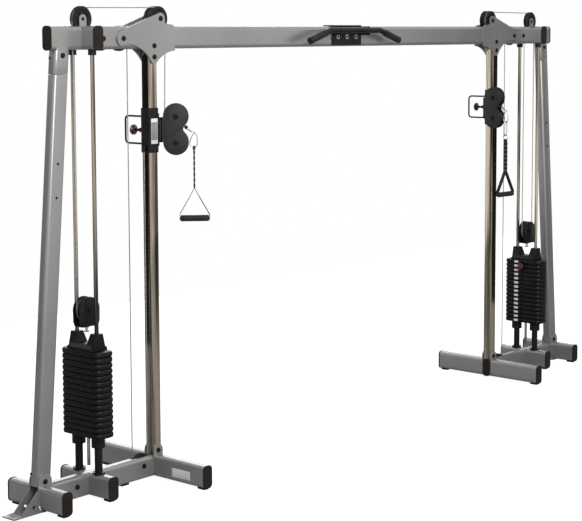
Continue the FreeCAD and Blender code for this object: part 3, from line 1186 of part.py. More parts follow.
housing = swivel_housing()
upper_wheel = pulley("upper_wheel", "head_flange_radius", "head_line_radius", "head_offset", 0,
                     "carriage_z + head_rise")
lower_wheel = pulley("lower_wheel", "head_flange_radius", "head_line_radius", "head_offset", 0,
                     "carriage_z - head_drop")
short_cable = head_cable()
stop = cable_end()
for side_name, side, extra in (("left", -1, 0), ("right", 1, 1)):
    node(side_name + "_carriage_cable", carriage_cables(side_name + "_carriage_strands", side))
    node(side_name + "_swivel_housing", turned_head(side_name + "_housing", housing, side))
    node(side_name + "_upper_head_pulley", turned_head(side_name + "_upper_wheel", upper_wheel, side))
    node(side_name + "_lower_head_pulley", turned_head(side_name + "_lower_wheel", lower_wheel, side))
    node(side_name + "_head_cable", turned_head(side_name + "_head_rope", short_cable, side))
    node(side_name + "_ball_stop", turned_head(side_name + "_stop", stop, side))
    hanger, lowest, lowest_wire = hook(side_name + "_hanger", extra)
    webbing, core_height = strap(side_name + "_webbing", lowest, lowest_wire, extra)
    tube_grip = grip(side_name + "_foam", core_height, extra)
    node(side_name + "_snap_hook", turned_head(side_name + "_snap", hanger, side))
    node(side_name + "_strap", turned_head(side_name + "_web", webbing, side))
    node(side_name + "_grip", turned_head(side_name + "_handle", tube_grip, side))

# ---------------------------------------------------------------- checks and export

doc.recompute()
for item in doc.Objects:
    if "Invalid" in item.State or "Error" in item.State:
        raise RuntimeError("%s did not build: %s" % (item.Label, item.State))
for item in NODES:
    shape = item.Shape
    if shape.isNull() or not shape.isValid() or not shape.Solids:
        raise RuntimeError("%s has no valid solid" % item.Label)

os.makedirs("parts", exist_ok=True)
for item in NODES:
    item.Shape.exportStep("parts/%s.step" % item.Label)
print(len(NODES), "nodes written")
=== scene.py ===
import bmesh
import bpy
import json
import math
from mathutils import Matrix, Vector


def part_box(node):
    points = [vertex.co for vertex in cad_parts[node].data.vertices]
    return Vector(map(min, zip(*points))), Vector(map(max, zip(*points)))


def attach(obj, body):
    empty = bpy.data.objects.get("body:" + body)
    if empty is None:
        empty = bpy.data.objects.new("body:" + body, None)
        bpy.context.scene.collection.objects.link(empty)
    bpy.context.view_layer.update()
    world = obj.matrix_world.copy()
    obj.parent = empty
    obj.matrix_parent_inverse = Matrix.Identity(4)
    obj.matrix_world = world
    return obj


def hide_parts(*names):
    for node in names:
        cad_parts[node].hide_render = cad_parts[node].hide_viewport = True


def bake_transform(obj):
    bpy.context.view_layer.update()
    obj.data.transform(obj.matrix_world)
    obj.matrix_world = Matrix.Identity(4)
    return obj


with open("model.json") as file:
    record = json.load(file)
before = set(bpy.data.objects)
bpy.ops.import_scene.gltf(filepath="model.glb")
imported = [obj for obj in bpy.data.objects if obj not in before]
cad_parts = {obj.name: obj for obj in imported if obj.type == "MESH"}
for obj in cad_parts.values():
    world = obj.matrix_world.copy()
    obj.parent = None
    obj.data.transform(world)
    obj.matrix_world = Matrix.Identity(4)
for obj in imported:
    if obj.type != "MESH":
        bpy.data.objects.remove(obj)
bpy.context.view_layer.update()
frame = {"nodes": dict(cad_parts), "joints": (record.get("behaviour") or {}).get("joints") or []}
scene = bpy.context.scene
joints = {joint["name"]: joint for joint in frame["joints"]}
TOWERS = (("left", -1), ("right", 1))

# ---------------------------------------------------------------- camera
# A long lens two metres up, out beyond the left tower, looking across the machine.
eye = Vector((-6.2082, -5.0341, 1.998))
turn, tilt, roll = 0.854, 0.0984, -0.0037
camera_data = bpy.data.cameras.new("camera")
camera_data.lens = 97.2
camera_data.sensor_width = 36
camera_data.shift_x = 0.0071
camera_data.shift_y = -0.1245
camera_data.clip_end = 100
camera = bpy.data.objects.new("camera", camera_data)
scene.collection.objects.link(camera)
heading = Matrix.Rotation(-turn, 4, "Z") @ Matrix.Rotation(math.pi / 2 - tilt, 4, "X")
heading = heading @ Matrix.Rotation(roll, 4, "Z")
camera.matrix_world = Matrix.Translation(eye) @ heading
scene.camera = camera

# ---------------------------------------------------------------- floor and light
# A pale studio: one wide lamp from the front, a weaker one from behind, an even white surround.
scene.view_settings.view_transform = "Standard"
floor_mesh = bpy.data.meshes.new("studio_floor")
floor_mesh.from_pydata([(-7, -6, 0), (7, -6, 0), (7, 3.5, 0), (-7, 3.5, 0)], [], [(0, 1, 2, 3)])
floor = bpy.data.objects.new("studio_floor", floor_mesh)
scene.collection.objects.link(floor)

studio_floor = bpy.data.materials.new("studio_floor")
studio_floor.use_nodes = True
floor_nodes, floor_links = studio_floor.node_tree.nodes, studio_floor.node_tree.links
matt = floor_nodes["Principled BSDF"]
matt.inputs["Base Color"].default_value = (0.42, 0.42, 0.42, 1)
matt.inputs["Roughness"].default_value = 0.9
matt.inputs["Specular IOR Level"].default_value = 0
glow = floor_nodes.new("ShaderNodeEmission")
glow_level = floor_nodes.new("ShaderNodeLightPath")
glow_range = floor_nodes.new("ShaderNodeMapRange")
glow_range.inputs["To Min"].default_value = 0.02
glow_range.inputs["To Max"].default_value = 0.90
lit_floor = floor_nodes.new("ShaderNodeAddShader")
floor_links.new(glow_level.outputs["Is Camera Ray"], glow_range.inputs["Value"])
floor_links.new(glow_range.outputs["Result"], glow.inputs["Strength"])
floor_links.new(matt.outputs["BSDF"], lit_floor.inputs[0])
floor_links.new(glow.outputs["Emission"], lit_floor.inputs[1])
floor_links.new(lit_floor.outputs["Shader"], floor_nodes["Material Output"].inputs["Surface"])
floor_mesh.materials.append(studio_floor)

world = bpy.data.worlds.new("studio")
scene.world = world
world.use_nodes = True
sky_nodes, sky_links = world.node_tree.nodes, world.node_tree.links
even = sky_nodes["Background"]
even.inputs["Color"].default_value = (1, 1, 1, 1)
even.inputs["Strength"].default_value = 0.42
white = sky_nodes.new("ShaderNodeBackground")
white.inputs["Color"].default_value = (1, 1, 1, 1)
white.inputs["Strength"].default_value = 1.0
rays = sky_nodes.new("ShaderNodeLightPath")
seen = sky_nodes.new("ShaderNodeMath")
seen.operation = "MAXIMUM"
shiny = sky_nodes.new("ShaderNodeMath")
shiny.operation = "MAXIMUM"
choose = sky_nodes.new("ShaderNodeMixShader")
sky_links.new(rays.outputs["Is Glossy Ray"], shiny.inputs[0])
sky_links.new(rays.outputs["Is Transmission Ray"], shiny.inputs[1])
sky_links.new(rays.outputs["Is Camera Ray"], seen.inputs[0])
sky_links.new(shiny.outputs[0], seen.inputs[1])
sky_links.new(seen.outputs[0], choose.inputs["Fac"])
sky_links.new(even.outputs[0], choose.inputs[1])
sky_links.new(white.outputs[0], choose.inputs[2])
sky_links.new(choose.outputs[0], sky_nodes["World Output"].inputs["Surface"])

for lamp_name, place, aim, size, power in (
    ("front_lamp", (-3.0, -5.5, 4.6), (0, 0, 2.0), 3.6, 400),
    ("back_lamp", (4.5, 5.5, 4.5), (0, 0, 1.2), 4.0, 160),
):
    lamp_data = bpy.data.lights.new(lamp_name, "AREA")
    lamp_data.size = size
    lamp_data.energy = power
    lamp = bpy.data.objects.new(lamp_name, lamp_data)
    scene.collection.objects.link(lamp)
    lamp.location = place
    lamp.rotation_euler = (Vector(aim) - Vector(place)).to_track_quat("-Z", "Y").to_euler()

# Two dark cards that only show in reflections give the chrome something to mirror. They cast no shadow.
for card_name, place in (("west_card", (-3.5, 2.15, 1.2)), ("east_card", (3.45, -1.45, 1.2))):
    half = 0.65
    card_mesh = bpy.data.meshes.new(card_name)
    corners = [(-half, 0, -1.2), (half, 0, -1.2), (half, 0, 1.6), (-half, 0, 1.6)]
    card_mesh.from_pydata(corners, [], [(0, 1, 2, 3)])
    card = bpy.data.objects.new(card_name, card_mesh)
    scene.collection.objects.link(card)
    card.location = place
    card.rotation_euler = (0, 0, math.atan2(-place[0], place[1]))
    card.visible_camera = card.visible_diffuse = card.visible_shadow = False
    dull = bpy.data.materials.new(card_name)
    dull.use_nodes = True
    felt = dull.node_tree.nodes["Principled BSDF"]
    felt.inputs["Base Color"].default_value = (0.02, 0.017, 0.014, 1)
    felt.inputs["Roughness"].default_value = 1
    card_mesh.materials.append(dull)

# ---------------------------------------------------------------- silver frame: bases, top beams, plates
# Square and rounded steel tube with 3 mm walls, welded and bolted together, in silver-grey powder coat
# with a fine orange-peel surface and a little metal flake.


def noise(tree, scale, detail=2.0, stretch=(1, 1, 1)):
    """Noise on the piece's own coordinates, in metres."""
    nodes, links = tree.nodes, tree.links
    where = nodes.new("ShaderNodeTexCoord")
    mapping = nodes.new("ShaderNodeMapping")
    mapping.inputs["Scale"].default_value = stretch
    texture = nodes.new("ShaderNodeTexNoise")
    texture.inputs["Scale"].default_value = scale
    texture.inputs["Detail"].default_value = detail
    links.new(where.outputs["Object"], mapping.inputs["Vector"])
    links.new(mapping.outputs["Vector"], texture.inputs["Vector"])
    return texture.outputs["Fac"]


def ramp(tree, source, low, high, first, second):
    """Two-colour ramp over part of a texture's range."""
    node = tree.nodes.new("ShaderNodeValToRGB")
    node.color_ramp.elements[0].position = low
    node.color_ramp.elements[1].position = high
    node.color_ramp.elements[0].color = (*first, 1)
    node.color_ramp.elements[1].color = (*second, 1)
    tree.links.new(source, node.inputs["Fac"])
    return node.outputs["Color"]


def surface_finish(name, dark, light, metallic, rough, patch=6.0, grain=900.0, bump=0.1, depth=0.0002,
                   stretch=(1, 1, 1), coat=0.0, mirror=0.5, span=(0.3, 0.7)):
    """A coated surface: broad patches of tone, gloss that varies a little, and a fine grain in relief."""
    material = bpy.data.materials.new(name)
    material.use_nodes = True
    tree = material.node_tree
    shader = tree.nodes["Principled BSDF"]
    shader.inputs["Metallic"].default_value = metallic
    shader.inputs["Coat Weight"].default_value = coat
    shader.inputs["Specular IOR Level"].default_value = mirror
    shader.inputs["Coat Roughness"].default_value = 0.15
    broad = noise(tree, patch, 4.0, stretch)
    tree.links.new(ramp(tree, broad, span[0], span[1], dark, light), shader.inputs["Base Color"])
    gloss = tree.nodes.new("ShaderNodeMapRange")
    gloss.inputs["To Min"].default_value = rough[0]
    gloss.inputs["To Max"].default_value = rough[1]
    tree.links.new(noise(tree, patch * 9, 3.0, stretch), gloss.inputs["Value"])
    tree.links.new(gloss.outputs["Result"], shader.inputs["Roughness"])
    relief = tree.nodes.new("ShaderNodeBump")
    relief.inputs["Strength"].default_value = bump
    relief.inputs["Distance"].default_value = depth
    tree.links.new(noise(tree, grain, 2.0, stretch), relief.inputs["Height"])
    tree.links.new(relief.outputs["Normal"], shader.inputs["Normal"])
    return material


def welded_shading():
    """Node tree that joins a machined part's faces and shades its curves smooth and its corners crisp."""
    tree = bpy.data.node_groups.new("crisp corners", "GeometryNodeTree")
    tree.interface.new_socket("Geometry", in_out="INPUT", socket_type="NodeSocketGeometry")
    merge = tree.interface.new_socket("Merge distance", in_out="INPUT", socket_type="NodeSocketFloat")
    sharp = tree.interface.new_socket("Corner angle", in_out="INPUT", socket_type="NodeSocketFloat")
    merge.default_value = 0.00002
    sharp.default_value = math.radians(32)
    tree.interface.new_socket("Geometry", in_out="OUTPUT", socket_type="NodeSocketGeometry")
    start = tree.nodes.new("NodeGroupInput")
    end = tree.nodes.new("NodeGroupOutput")
    joined = tree.nodes.new("GeometryNodeMergeByDistance")
    faces = tree.nodes.new("GeometryNodeSetShadeSmooth")
    edges = tree.nodes.new("GeometryNodeSetShadeSmooth")
    edges.domain = "EDGE"
    edges.inputs["Shade Smooth"].default_value = False
    angle = tree.nodes.new("GeometryNodeInputMeshEdgeAngle")
    wide = tree.nodes.new("FunctionNodeCompare")
    wide.data_type = "FLOAT"
    wide.operation = "GREATER_THAN"
    links = tree.links
    links.new(start.outputs["Geometry"], joined.inputs["Geometry"])
    links.new(start.outputs["Merge distance"], joined.inputs["Distance"])
    links.new(joined.outputs["Geometry"], faces.inputs["Geometry"])
    links.new(faces.outputs["Geometry"], edges.inputs["Geometry"])
    links.new(angle.outputs["Unsigned Angle"], wide.inputs["A"])
    links.new(start.outputs["Corner angle"], wide.inputs["B"])
    links.new(wide.outputs["Result"], edges.inputs["Selection"])
    links.new(edges.outputs["Geometry"], end.inputs["Geometry"])
    return tree


CRISP = welded_shading()


def dress(node, material):
    """Gives a machined part its finish and its shading."""
    part = frame["nodes"][node]
    part.data.materials.clear()
    part.data.materials.append(material)
    modifier = part.modifiers.new("crisp corners", "NODES")
    modifier.node_group = CRISP


silver = surface_finish("silver_powder_coat", (0.275, 0.272, 0.268), (0.32, 0.317, 0.312), 0.6, (0.30, 0.42),
                        patch=3.0, grain=1400.0, bump=0.12, coat=0.15)
for node in ("base_frames", "top_beams", "gusset_plates", "anchor_plates"):
    dress(node, silver)

# ---------------------------------------------------------------- chrome columns and guide rods
# Hard chrome on square tube and on round bar: near mirror, with lengthwise bands of painted reflection in its
# colour, running from warm brown to pale straw.
chrome = surface_finish("chrome_painted_reflection_bands", (0.07, 0.052, 0.04), (0.56, 0.49, 0.40), 1.0, (0.05, 0.13),
                        patch=9.0, grain=160.0, bump=0.05, depth=0.0002, stretch=(4, 4, 0.12),
                        span=(0.36, 0.60))
for node in ("columns", "guide_rods", "left_selector_rod", "right_selector_rod"):
    dress(node, chrome)

# ---------------------------------------------------------------- end caps and pads
# Moulded black nylon plugs with a satin face. The pads under the feet share their node and their finish.
nylon = surface_finish("moulded_nylon", (0.008, 0.0055, 0.0045), (0.016, 0.011, 0.009), 0.0, (0.42, 0.58),
                       patch=20.0, grain=2200.0, bump=0.18, mirror=0.2)
dress("end_caps", nylon)

# ---------------------------------------------------------------- black steel: rod supports, bar, carriages
# Steel tube and plate in semi-gloss black powder coat: the rods' posts, the pull-up bar with its saddle over
# the crossbeam, and the carriages that slide on the columns.
black_coat = surface_finish("black_powder_coat", (0.004, 0.0035, 0.0038), (0.009, 0.008, 0.0085), 0.0,
                            (0.32, 0.46), patch=12.0, grain=1600.0, bump=0.14, mirror=0.2)
for node in ("rod_supports", "pull_up_bar", "left_carriage", "right_carriage"):
    dress(node, black_coat)


def closed(mesh_name, points, faces):
    """A mesh from points and faces, doubles merged and faces turned outwards."""
    mesh = bpy.data.meshes.new(mesh_name)
    mesh.from_pydata([tuple(point) for point in points], [], faces)
    work = bmesh.new()
    work.from_mesh(mesh)
    bmesh.ops.remove_doubles(work, verts=work.verts, dist=0.00001)
    bmesh.ops.recalc_face_normals(work, faces=work.faces)
    work.to_mesh(mesh)
    work.free()
    return mesh


def shaded(piece):
    """Smooth curves, crisp corners."""
    piece.data.shade_smooth()
    piece.data.set_sharp_from_angle(angle=math.radians(35))


def fitted(name, mesh, body, slot, material, *nodes):
    """Puts a finished mesh in the scene on its body, in place of the machined nodes it stands for."""
    piece = bpy.data.objects.new(name, mesh)
    scene.collection.objects.link(piece)
    mesh.materials.clear()
    mesh.materials.append(material)
    shaded(piece)
    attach(piece, body)
    if nodes:
        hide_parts(*nodes)


def frame_along(axis):
    """A rotation that takes +Z to an axis."""
    return Vector(axis).normalized().to_track_quat("Z", "Y").to_matrix().to_4x4()


def turned(outline, centre, axis, steps):
    """Points and faces of a turned form: outline is a closed loop of (radius, height) about an axis."""
    spin = Matrix.Translation(Vector(centre)) @ frame_along(axis)
    points, faces = [], []
    count = len(outline)
    for step in range(steps):
        angle = 2 * math.pi * step / steps
        for radius, height in outline:
            points.append(spin @ Vector((radius * math.cos(angle), radius * math.sin(angle), height)))
    for step in range(steps):
        here, there = step * count, ((step + 1) % steps) * count
        for index in range(count):
            following = (index + 1) % count
            faces.append((here + index, there + index, there + following, here + following))
    return points, faces


def joined(*forms):
    """Several (points, faces) lists as one."""
    points, faces = [], []
    for more_points, more_faces in forms:
        shift = len(points)
        points += more_points
        faces += [tuple(index + shift for index in face) for face in more_faces]
    return points, faces


# ---------------------------------------------------------------- cable pulleys
# Glass-filled nylon wheels, 110 mm across and 18 mm thick, with a dished web, a raised hub and a
# round-bottomed groove for the 4.8 mm cable. Each turns on a 12 mm axle.
CABLE_RADIUS = 0.0024
BEAM_LINE, HEAD_LINE, FLOATING_LINE = 0.048, 0.050, 0.0525


def pulley(centre, axis, flange, line):
    """Turned wheel with six ribs in each dished face."""
    half, bore = 0.009, 0.0062
    floor_of_groove = line - CABLE_RADIUS - 0.0004
    rim_inside = line - 0.012
    one_side = [(bore, half - 0.0006), (bore + 0.0006, half), (0.0165, half), (0.0185, half - 0.0035),
                (rim_inside - 0.002, half - 0.0035), (rim_inside, half - 0.0004), (rim_inside + 0.001, half),
                (flange - 0.0012, half), (flange, half - 0.0012), (flange - 0.0004, half - 0.0022),
                (floor_of_groove + 0.0022, 0.0028), (floor_of_groove + 0.0006, 0.0018),
                (floor_of_groove, 0.0006)]
    outline = one_side + [(radius, -height) for radius, height in reversed(one_side)]
    wheel = turned(outline, centre, axis, 72)
    spin = Matrix.Translation(Vector(centre)) @ frame_along(axis)
    ribs = []
    for index in range(6):
        arm = spin @ Matrix.Rotation(index * math.pi / 3, 4, "Z")
        for face in (-1, 1):
            low, high = face * (half - 0.0045), face * (half - 0.0012)
            corners = [(0.0165, -0.0016), (rim_inside + 0.0005, -0.0016), (rim_inside + 0.0005, 0.0016),
                       (0.0165, 0.0016)]
            points = [arm @ Vector((x, y, low)) for x, y in corners]
            points += [arm @ Vector((x, y, high)) for x, y in corners]
            sides = [(0, 1, 5, 4), (1, 2, 6, 5), (2, 3, 7, 6), (3, 0, 4, 7), (4, 5, 6, 7), (3, 2, 1, 0)]
            ribs.append((points, sides))
    return joined(wheel, *ribs)


PULLEYS = (
    # node, joint that gives the axle, flange radius, cable-line radius
    ("floating_pulley", "floating_turn", 0.0565, FLOATING_LINE),
    ("stack_pulley", "stack_wheel_turn", 0.0545, BEAM_LINE),
    ("first_beam_pulley", "first_turn", 0.0545, BEAM_LINE),
    ("second_beam_pulley", "second_turn", 0.0525, BEAM_LINE),
    ("floor_pulley", "floor_turn", 0.0545, BEAM_LINE),
    ("upper_head_pulley", "upper_turn", 0.054, HEAD_LINE),
    ("lower_head_pulley", "lower_turn", 0.054, HEAD_LINE),
)
for side, sign in TOWERS:
    for node, joint_name, flange, line in PULLEYS:
        joint = joints[side + "_" + joint_name]
        points, faces = pulley(joint["pos_m"], joint["axis"], flange, line)
        fitted(side + "_" + node + "_wheel", closed(node, points, faces), joint["child"], "black_plastic",
               nylon, side + "_" + node)
    joint = joints[side + "_column_turn"]
    pair = []
    for offset in (-0.012, 0.012):
        centre = Vector(joint["pos_m"]) + Vector((0, offset, 0))
        pair.append(pulley(centre, joint["axis"], 0.0545, BEAM_LINE))
    fitted(side + "_column_wheels_pair", closed("column_pulleys", *joined(*pair)), joint["child"],
           "black_plastic", nylon, side + "_column_pulleys")

# ---------------------------------------------------------------- bolts
# Black hexagon bolts on plain washers at every joint and axle of the frame, with 12 mm shanks. Three black
# button-head screws on bright washers hold the saddle of the pull-up bar.
bolt_steel = surface_finish("blackened_steel", (0.002, 0.002, 0.002), (0.006, 0.006, 0.007), 0.0, (0.4, 0.52),
                            patch=60.0, grain=2500.0, bump=0.1, mirror=0.2)
zinc = surface_finish("zinc_plate", (0.42, 0.42, 0.43), (0.60, 0.60, 0.61), 0.95, (0.2, 0.34), patch=60.0,
                      grain=1600.0, bump=0.1)


def repeated(name, form, places, facings, sizes, material):
    """Geometry Nodes: a copy of one form on every place, its Z axis along the facing, scaled by its size."""
    master = bpy.data.objects.new(name + "_form", form)
    scene.collection.objects.link(master)
    mesh = bpy.data.meshes.new(name)
    mesh.from_pydata([tuple(place) for place in places], [], [])
    facing = mesh.attributes.new("facing", "FLOAT_VECTOR", "POINT")
    facing.data.foreach_set("vector", [value for direction in facings for value in direction])
    reach = mesh.attributes.new("reach", "FLOAT", "POINT")
    reach.data.foreach_set("value", sizes)
    piece = bpy.data.objects.new(name, mesh)
    scene.collection.objects.link(piece)
    tree = bpy.data.node_groups.new("copies", "GeometryNodeTree")
    tree.interface.new_socket("Geometry", in_out="INPUT", socket_type="NodeSocketGeometry")
    master_socket = tree.interface.new_socket("Form", in_out="INPUT", socket_type="NodeSocketObject")
    growth = tree.interface.new_socket("Overall size", in_out="INPUT", socket_type="NodeSocketFloat")
    growth.default_value = 1.0
    tree.interface.new_socket("Geometry", in_out="OUTPUT", socket_type="NodeSocketGeometry")
    make, links = tree.nodes.new, tree.links
    start, end = make("NodeGroupInput"), make("NodeGroupOutput")
    source, spread = make("GeometryNodeObjectInfo"), make("GeometryNodeInstanceOnPoints")
    links.new(start.outputs["Form"], source.inputs["Object"])
    links.new(start.outputs["Geometry"], spread.inputs["Points"])
    links.new(source.outputs["Geometry"], spread.inputs["Instance"])
    direction, size = make("GeometryNodeInputNamedAttribute"), make("GeometryNodeInputNamedAttribute")
    direction.data_type = "FLOAT_VECTOR"
    direction.inputs["Name"].default_value = "facing"
    size.data_type = "FLOAT"
    size.inputs["Name"].default_value = "reach"
    align, scaled = make("FunctionNodeAlignRotationToVector"), make("ShaderNodeMath")
    align.axis = "Z"
    scaled.operation = "MULTIPLY"
    links.new(direction.outputs["Attribute"], align.inputs["Vector"])
    links.new(align.outputs["Rotation"], spread.inputs["Rotation"])
    links.new(size.outputs["Attribute"], scaled.inputs[0])
    links.new(start.outputs["Overall size"], scaled.inputs[1])
    links.new(scaled.outputs[0], spread.inputs["Scale"])
    real, coat = make("GeometryNodeRealizeInstances"), make("GeometryNodeSetMaterial")
    coat.inputs["Material"].default_value = material
    links.new(spread.outputs["Instances"], real.inputs["Geometry"])
    links.new(real.outputs["Geometry"], coat.inputs["Geometry"])
    links.new(coat.outputs["Geometry"], end.inputs["Geometry"])
    modifier = piece.modifiers.new("copies", "NODES")
    modifier.node_group = tree
    modifier[master_socket.identifier] = master
    modifier[growth.identifier] = 1.0
    evaluated = piece.evaluated_get(bpy.context.evaluated_depsgraph_get())
    result = bpy.data.meshes.new_from_object(evaluated)
    bpy.data.objects.remove(piece)
    bpy.data.objects.remove(master)
    return result


UP = (0, 0, 1)
WASHER = turned([(0.0002, 0), (1.0, 0), (1.02, 0.06), (1.0, 0.13), (0.0002, 0.13)], (0, 0, 0), UP, 28)
HEXAGON = turned([(0.0002, 0.12), (0.86, 0.12), (0.88, 0.16), (0.88, 0.46), (0.74, 0.54), (0.0002, 0.56)],
                 (0, 0, 0), UP, 6)
BUTTON = turned([(0.0002, 0), (1.0, 0), (1.0, 0.12), (0.85, 0.36), (0.55, 0.5), (0.4, 0.5), (0.36, 0.2),
                 (0.0002, 0.2)], (0, 0, 0), UP, 24)
BIG_HEAD, SMALL_HEAD = 0.0115, 0.0075
BOLTS = (
    # x, z, half of the grip along Y, head radius
    (1.313, 2.0635, 0.033, BIG_HEAD), (1.3535, 1.944, 0.033, BIG_HEAD), (1.3535, 1.895, 0.033, BIG_HEAD),
    (1.5365, 1.977, 0.033, BIG_HEAD), (1.646, 1.977, 0.025, BIG_HEAD), (1.751, 2.060, 0.0137, SMALL_HEAD),
    (1.4405, 0.069, 0.025, BIG_HEAD), (1.836, 0.061, 0.025, BIG_HEAD), (1.356, 0.126, 0.031, BIG_HEAD),
    (2.01773, 0.126, 0.031, BIG_HEAD), (1.87579, 1.908, 0.025, BIG_HEAD),
)
heads, facings, widths, shanks = [], [], [], []
for x, z, half, radius in BOLTS:
    for sign in (-1, 1):
        for end in (-1, 1):
            heads.append((sign * x, end * half, z))
            facings.append((0, end, 0))
            widths.append(radius)
        core = [(0.0002, -half), (0.0059, -half), (0.0059, half), (0.0002, half)]
        shanks.append(turned(core, (sign * x, 0, z), (0, 1, 0), 24))
head_form = closed("bolt_form", *joined(WASHER, HEXAGON))
head_mesh = repeated("bolt_heads", head_form, heads, facings, widths, bolt_steel)
fitted("frame_bolt_heads", head_mesh, "frame", "black_steel", bolt_steel, "frame_bolts")
fitted("frame_bolt_shanks", closed("bolt_shanks", *joined(*shanks)), "frame", "black_steel", bolt_steel)

screws = [(x, -0.031, 1.978) for x in (-0.072, 0, 0.072)]
facing_front = [(0, -1, 0)] * 3
washer_form = closed("washer", *WASHER)
washer_mesh = repeated("saddle_washers", washer_form, screws, facing_front, [BIG_HEAD] * 3, zinc)
fitted("saddle_washers", washer_mesh, "frame", "bright_steel", zinc)
seats = [(x, y - 0.0013, z) for x, y, z in screws]
screw_form = closed("button", *BUTTON)
screw_mesh = repeated("saddle_screws", screw_form, seats, facing_front, [0.0068] * 3, bolt_steel)
fitted("saddle_screws", screw_mesh, "frame", "black_steel", bolt_steel)

# ---------------------------------------------------------------- weight stacks
# Cast iron plates, 241 x 100 x 25 mm, in black enamel: soft rims from the mould, two bores for the guide
# rods, one for the selector rod and a slot for the pin. Each carries a blank pale tag. Thirteen rest, two
# hang on the pin.
enamel = surface_finish("black_enamel", (0.002, 0.0018, 0.0018), (0.005, 0.0045, 0.0045), 0.0, (0.32, 0.46),
                        patch=25.0, grain=700.0, bump=0.3, depth=0.0004, mirror=0.22)
tag_white = surface_finish("pale_tag", (0.62, 0.62, 0.61), (0.78, 0.78, 0.77), 0.0, (0.35, 0.5), patch=30.0,
                           grain=900.0, bump=0.1)


def rounded(half_x, half_y, radius, steps=7):
    """Outline of a rectangle with round corners, anticlockwise."""
    outline = []
    for corner, (x, y) in enumerate(((1, 1), (-1, 1), (-1, -1), (1, -1))):
        for step in range(steps + 1):
            angle = math.pi / 2 * (corner + step / steps)
            outline.append((x * (half_x - radius) + radius * math.cos(angle),
                            y * (half_y - radius) + radius * math.sin(angle)))
    return outline


def slab(outline, low, high, edge, place=Matrix.Identity(4)):
    """Points and faces of a plate with rounded rims, from an anticlockwise outline and two heights."""
    count = len(outline)
    outward = []
    for index in range(count):
        run = (Vector(outline[(index + 1) % count]) - Vector(outline[index - 1])).normalized()
        outward.append((run.y, -run.x))
    levels = ((low, edge), (low + 0.3 * edge, 0.3 * edge), (low + edge, 0), (high - edge, 0),
              (high - 0.3 * edge, 0.3 * edge), (high, edge))
    points, faces = [], []
    for level, inset in levels:
        for (x, y), (out_x, out_y) in zip(outline, outward):
            points.append(place @ Vector((x - out_x * inset, y - out_y * inset, level)))
    for ring in range(len(levels) - 1):
        for index in range(count):
            following = (index + 1) % count
            here, there = ring * count, (ring + 1) * count
            faces.append((here + index, here + following, there + following, there + index))
    faces.append(tuple(reversed(range(count))))
    faces.append(tuple(range((len(levels) - 1) * count, len(levels) * count)))
    return points, faces


def brick(low, high, place=Matrix.Identity(4)):
    """Points and faces of a block between two corners."""
    (x, y, z), (far_x, far_y, far_z) = low, high
    return slab([(x, y), (far_x, y), (far_x, far_y), (x, far_y)], z, far_z, 0.0004, place)


def bored(mesh, *cutters):
    """A mesh less the cutters."""
    piece = bpy.data.objects.new("bored", mesh)
    scene.collection.objects.link(piece)
    tools = []
    for points, faces in cutters:
        tool = bpy.data.objects.new("cutter", closed("cutter", points, faces))
        scene.collection.objects.link(tool)
        tools.append(tool)
        modifier = piece.modifiers.new("bore", "BOOLEAN")
        modifier.operation = "DIFFERENCE"
        modifier.solver = "EXACT"
        modifier.object = tool
    evaluated = piece.evaluated_get(bpy.context.evaluated_depsgraph_get())
    result = bpy.data.meshes.new_from_object(evaluated)
    for item in tools + [piece]:
        bpy.data.objects.remove(item)
    return result


PLATE_PITCH, PLATE_TALL, STACK_LOW, STACK_X = 0.0252, 0.0249, 0.270, 1.746
PLATE_HALF_LONG, PLATE_HALF_WIDE, PIN_HALF = 0.050, 0.1205, 0.0052
RESTING, PLATES = 13, 15
for side, sign in TOWERS:
    pin_low, pin_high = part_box(side + "_selector_pin")
    pin_rise = ((pin_low[2] + pin_high[2]) / 2 - STACK_LOW) % PLATE_PITCH
    rim = rounded(PLATE_HALF_LONG, PLATE_HALF_WIDE, 0.024)
    blank = closed("plate_blank", *slab(rim, 0, PLATE_TALL, 0.0075))
    bores = [turned([(0.0002, -0.01), (r, -0.01), (r, 0.04), (0.0002, 0.04)], (0, y, 0), UP, 32)
             for r, y in ((0.0101, 0.0625), (0.0101, -0.0625), (0.0082, 0))]
    slot_end = -0.06 * sign
    slot_cut = brick((min(0, slot_end), -PIN_HALF, pin_rise - PIN_HALF),
                     (max(0, slot_end), PIN_HALF, pin_rise + PIN_HALF))
    plate = bored(blank, *bores, slot_cut)
    on_edge = Matrix.Rotation(-math.pi / 2 * sign, 4, "Y") @ Matrix.Rotation(math.pi / 2, 4, "Z")
    tag = closed("tag", *slab(rounded(0.0135, 0.0065, 0.0015), 0, 0.0005, 0.0001, on_edge))
    rest = [(sign * STACK_X, 0, STACK_LOW + index * PLATE_PITCH) for index in range(RESTING)]
    lifted = [(sign * STACK_X, 0, STACK_LOW + index * PLATE_PITCH) for index in range(RESTING, PLATES)]
    stack = joints[side + "_stack_lift"]["child"]
    for name, places, body, node in (("resting", rest, "frame", "resting_plates"),
                                     ("lifted", lifted, stack, side + "_lifted_plates")):
        ups, ones = [UP] * len(places), [1.0] * len(places)
        mesh = repeated(side + "_" + name + "_plates_cast", plate.copy(), places, ups, ones, enamel)
        fitted(side + "_" + name + "_plates_cast", mesh, body, "stack_iron", enamel, node)
        spots = [(sign * (STACK_X - 0.0499), 0.039, z + PLATE_TALL / 2) for x, y, z in places]
        mesh = repeated(side + "_" + name + "_tags", tag.copy(), spots, ups, ones, tag_white)
        fitted(side + "_" + name + "_tags", mesh, body, "stack_iron", tag_white)
    dress(side + "_head_plate", enamel)

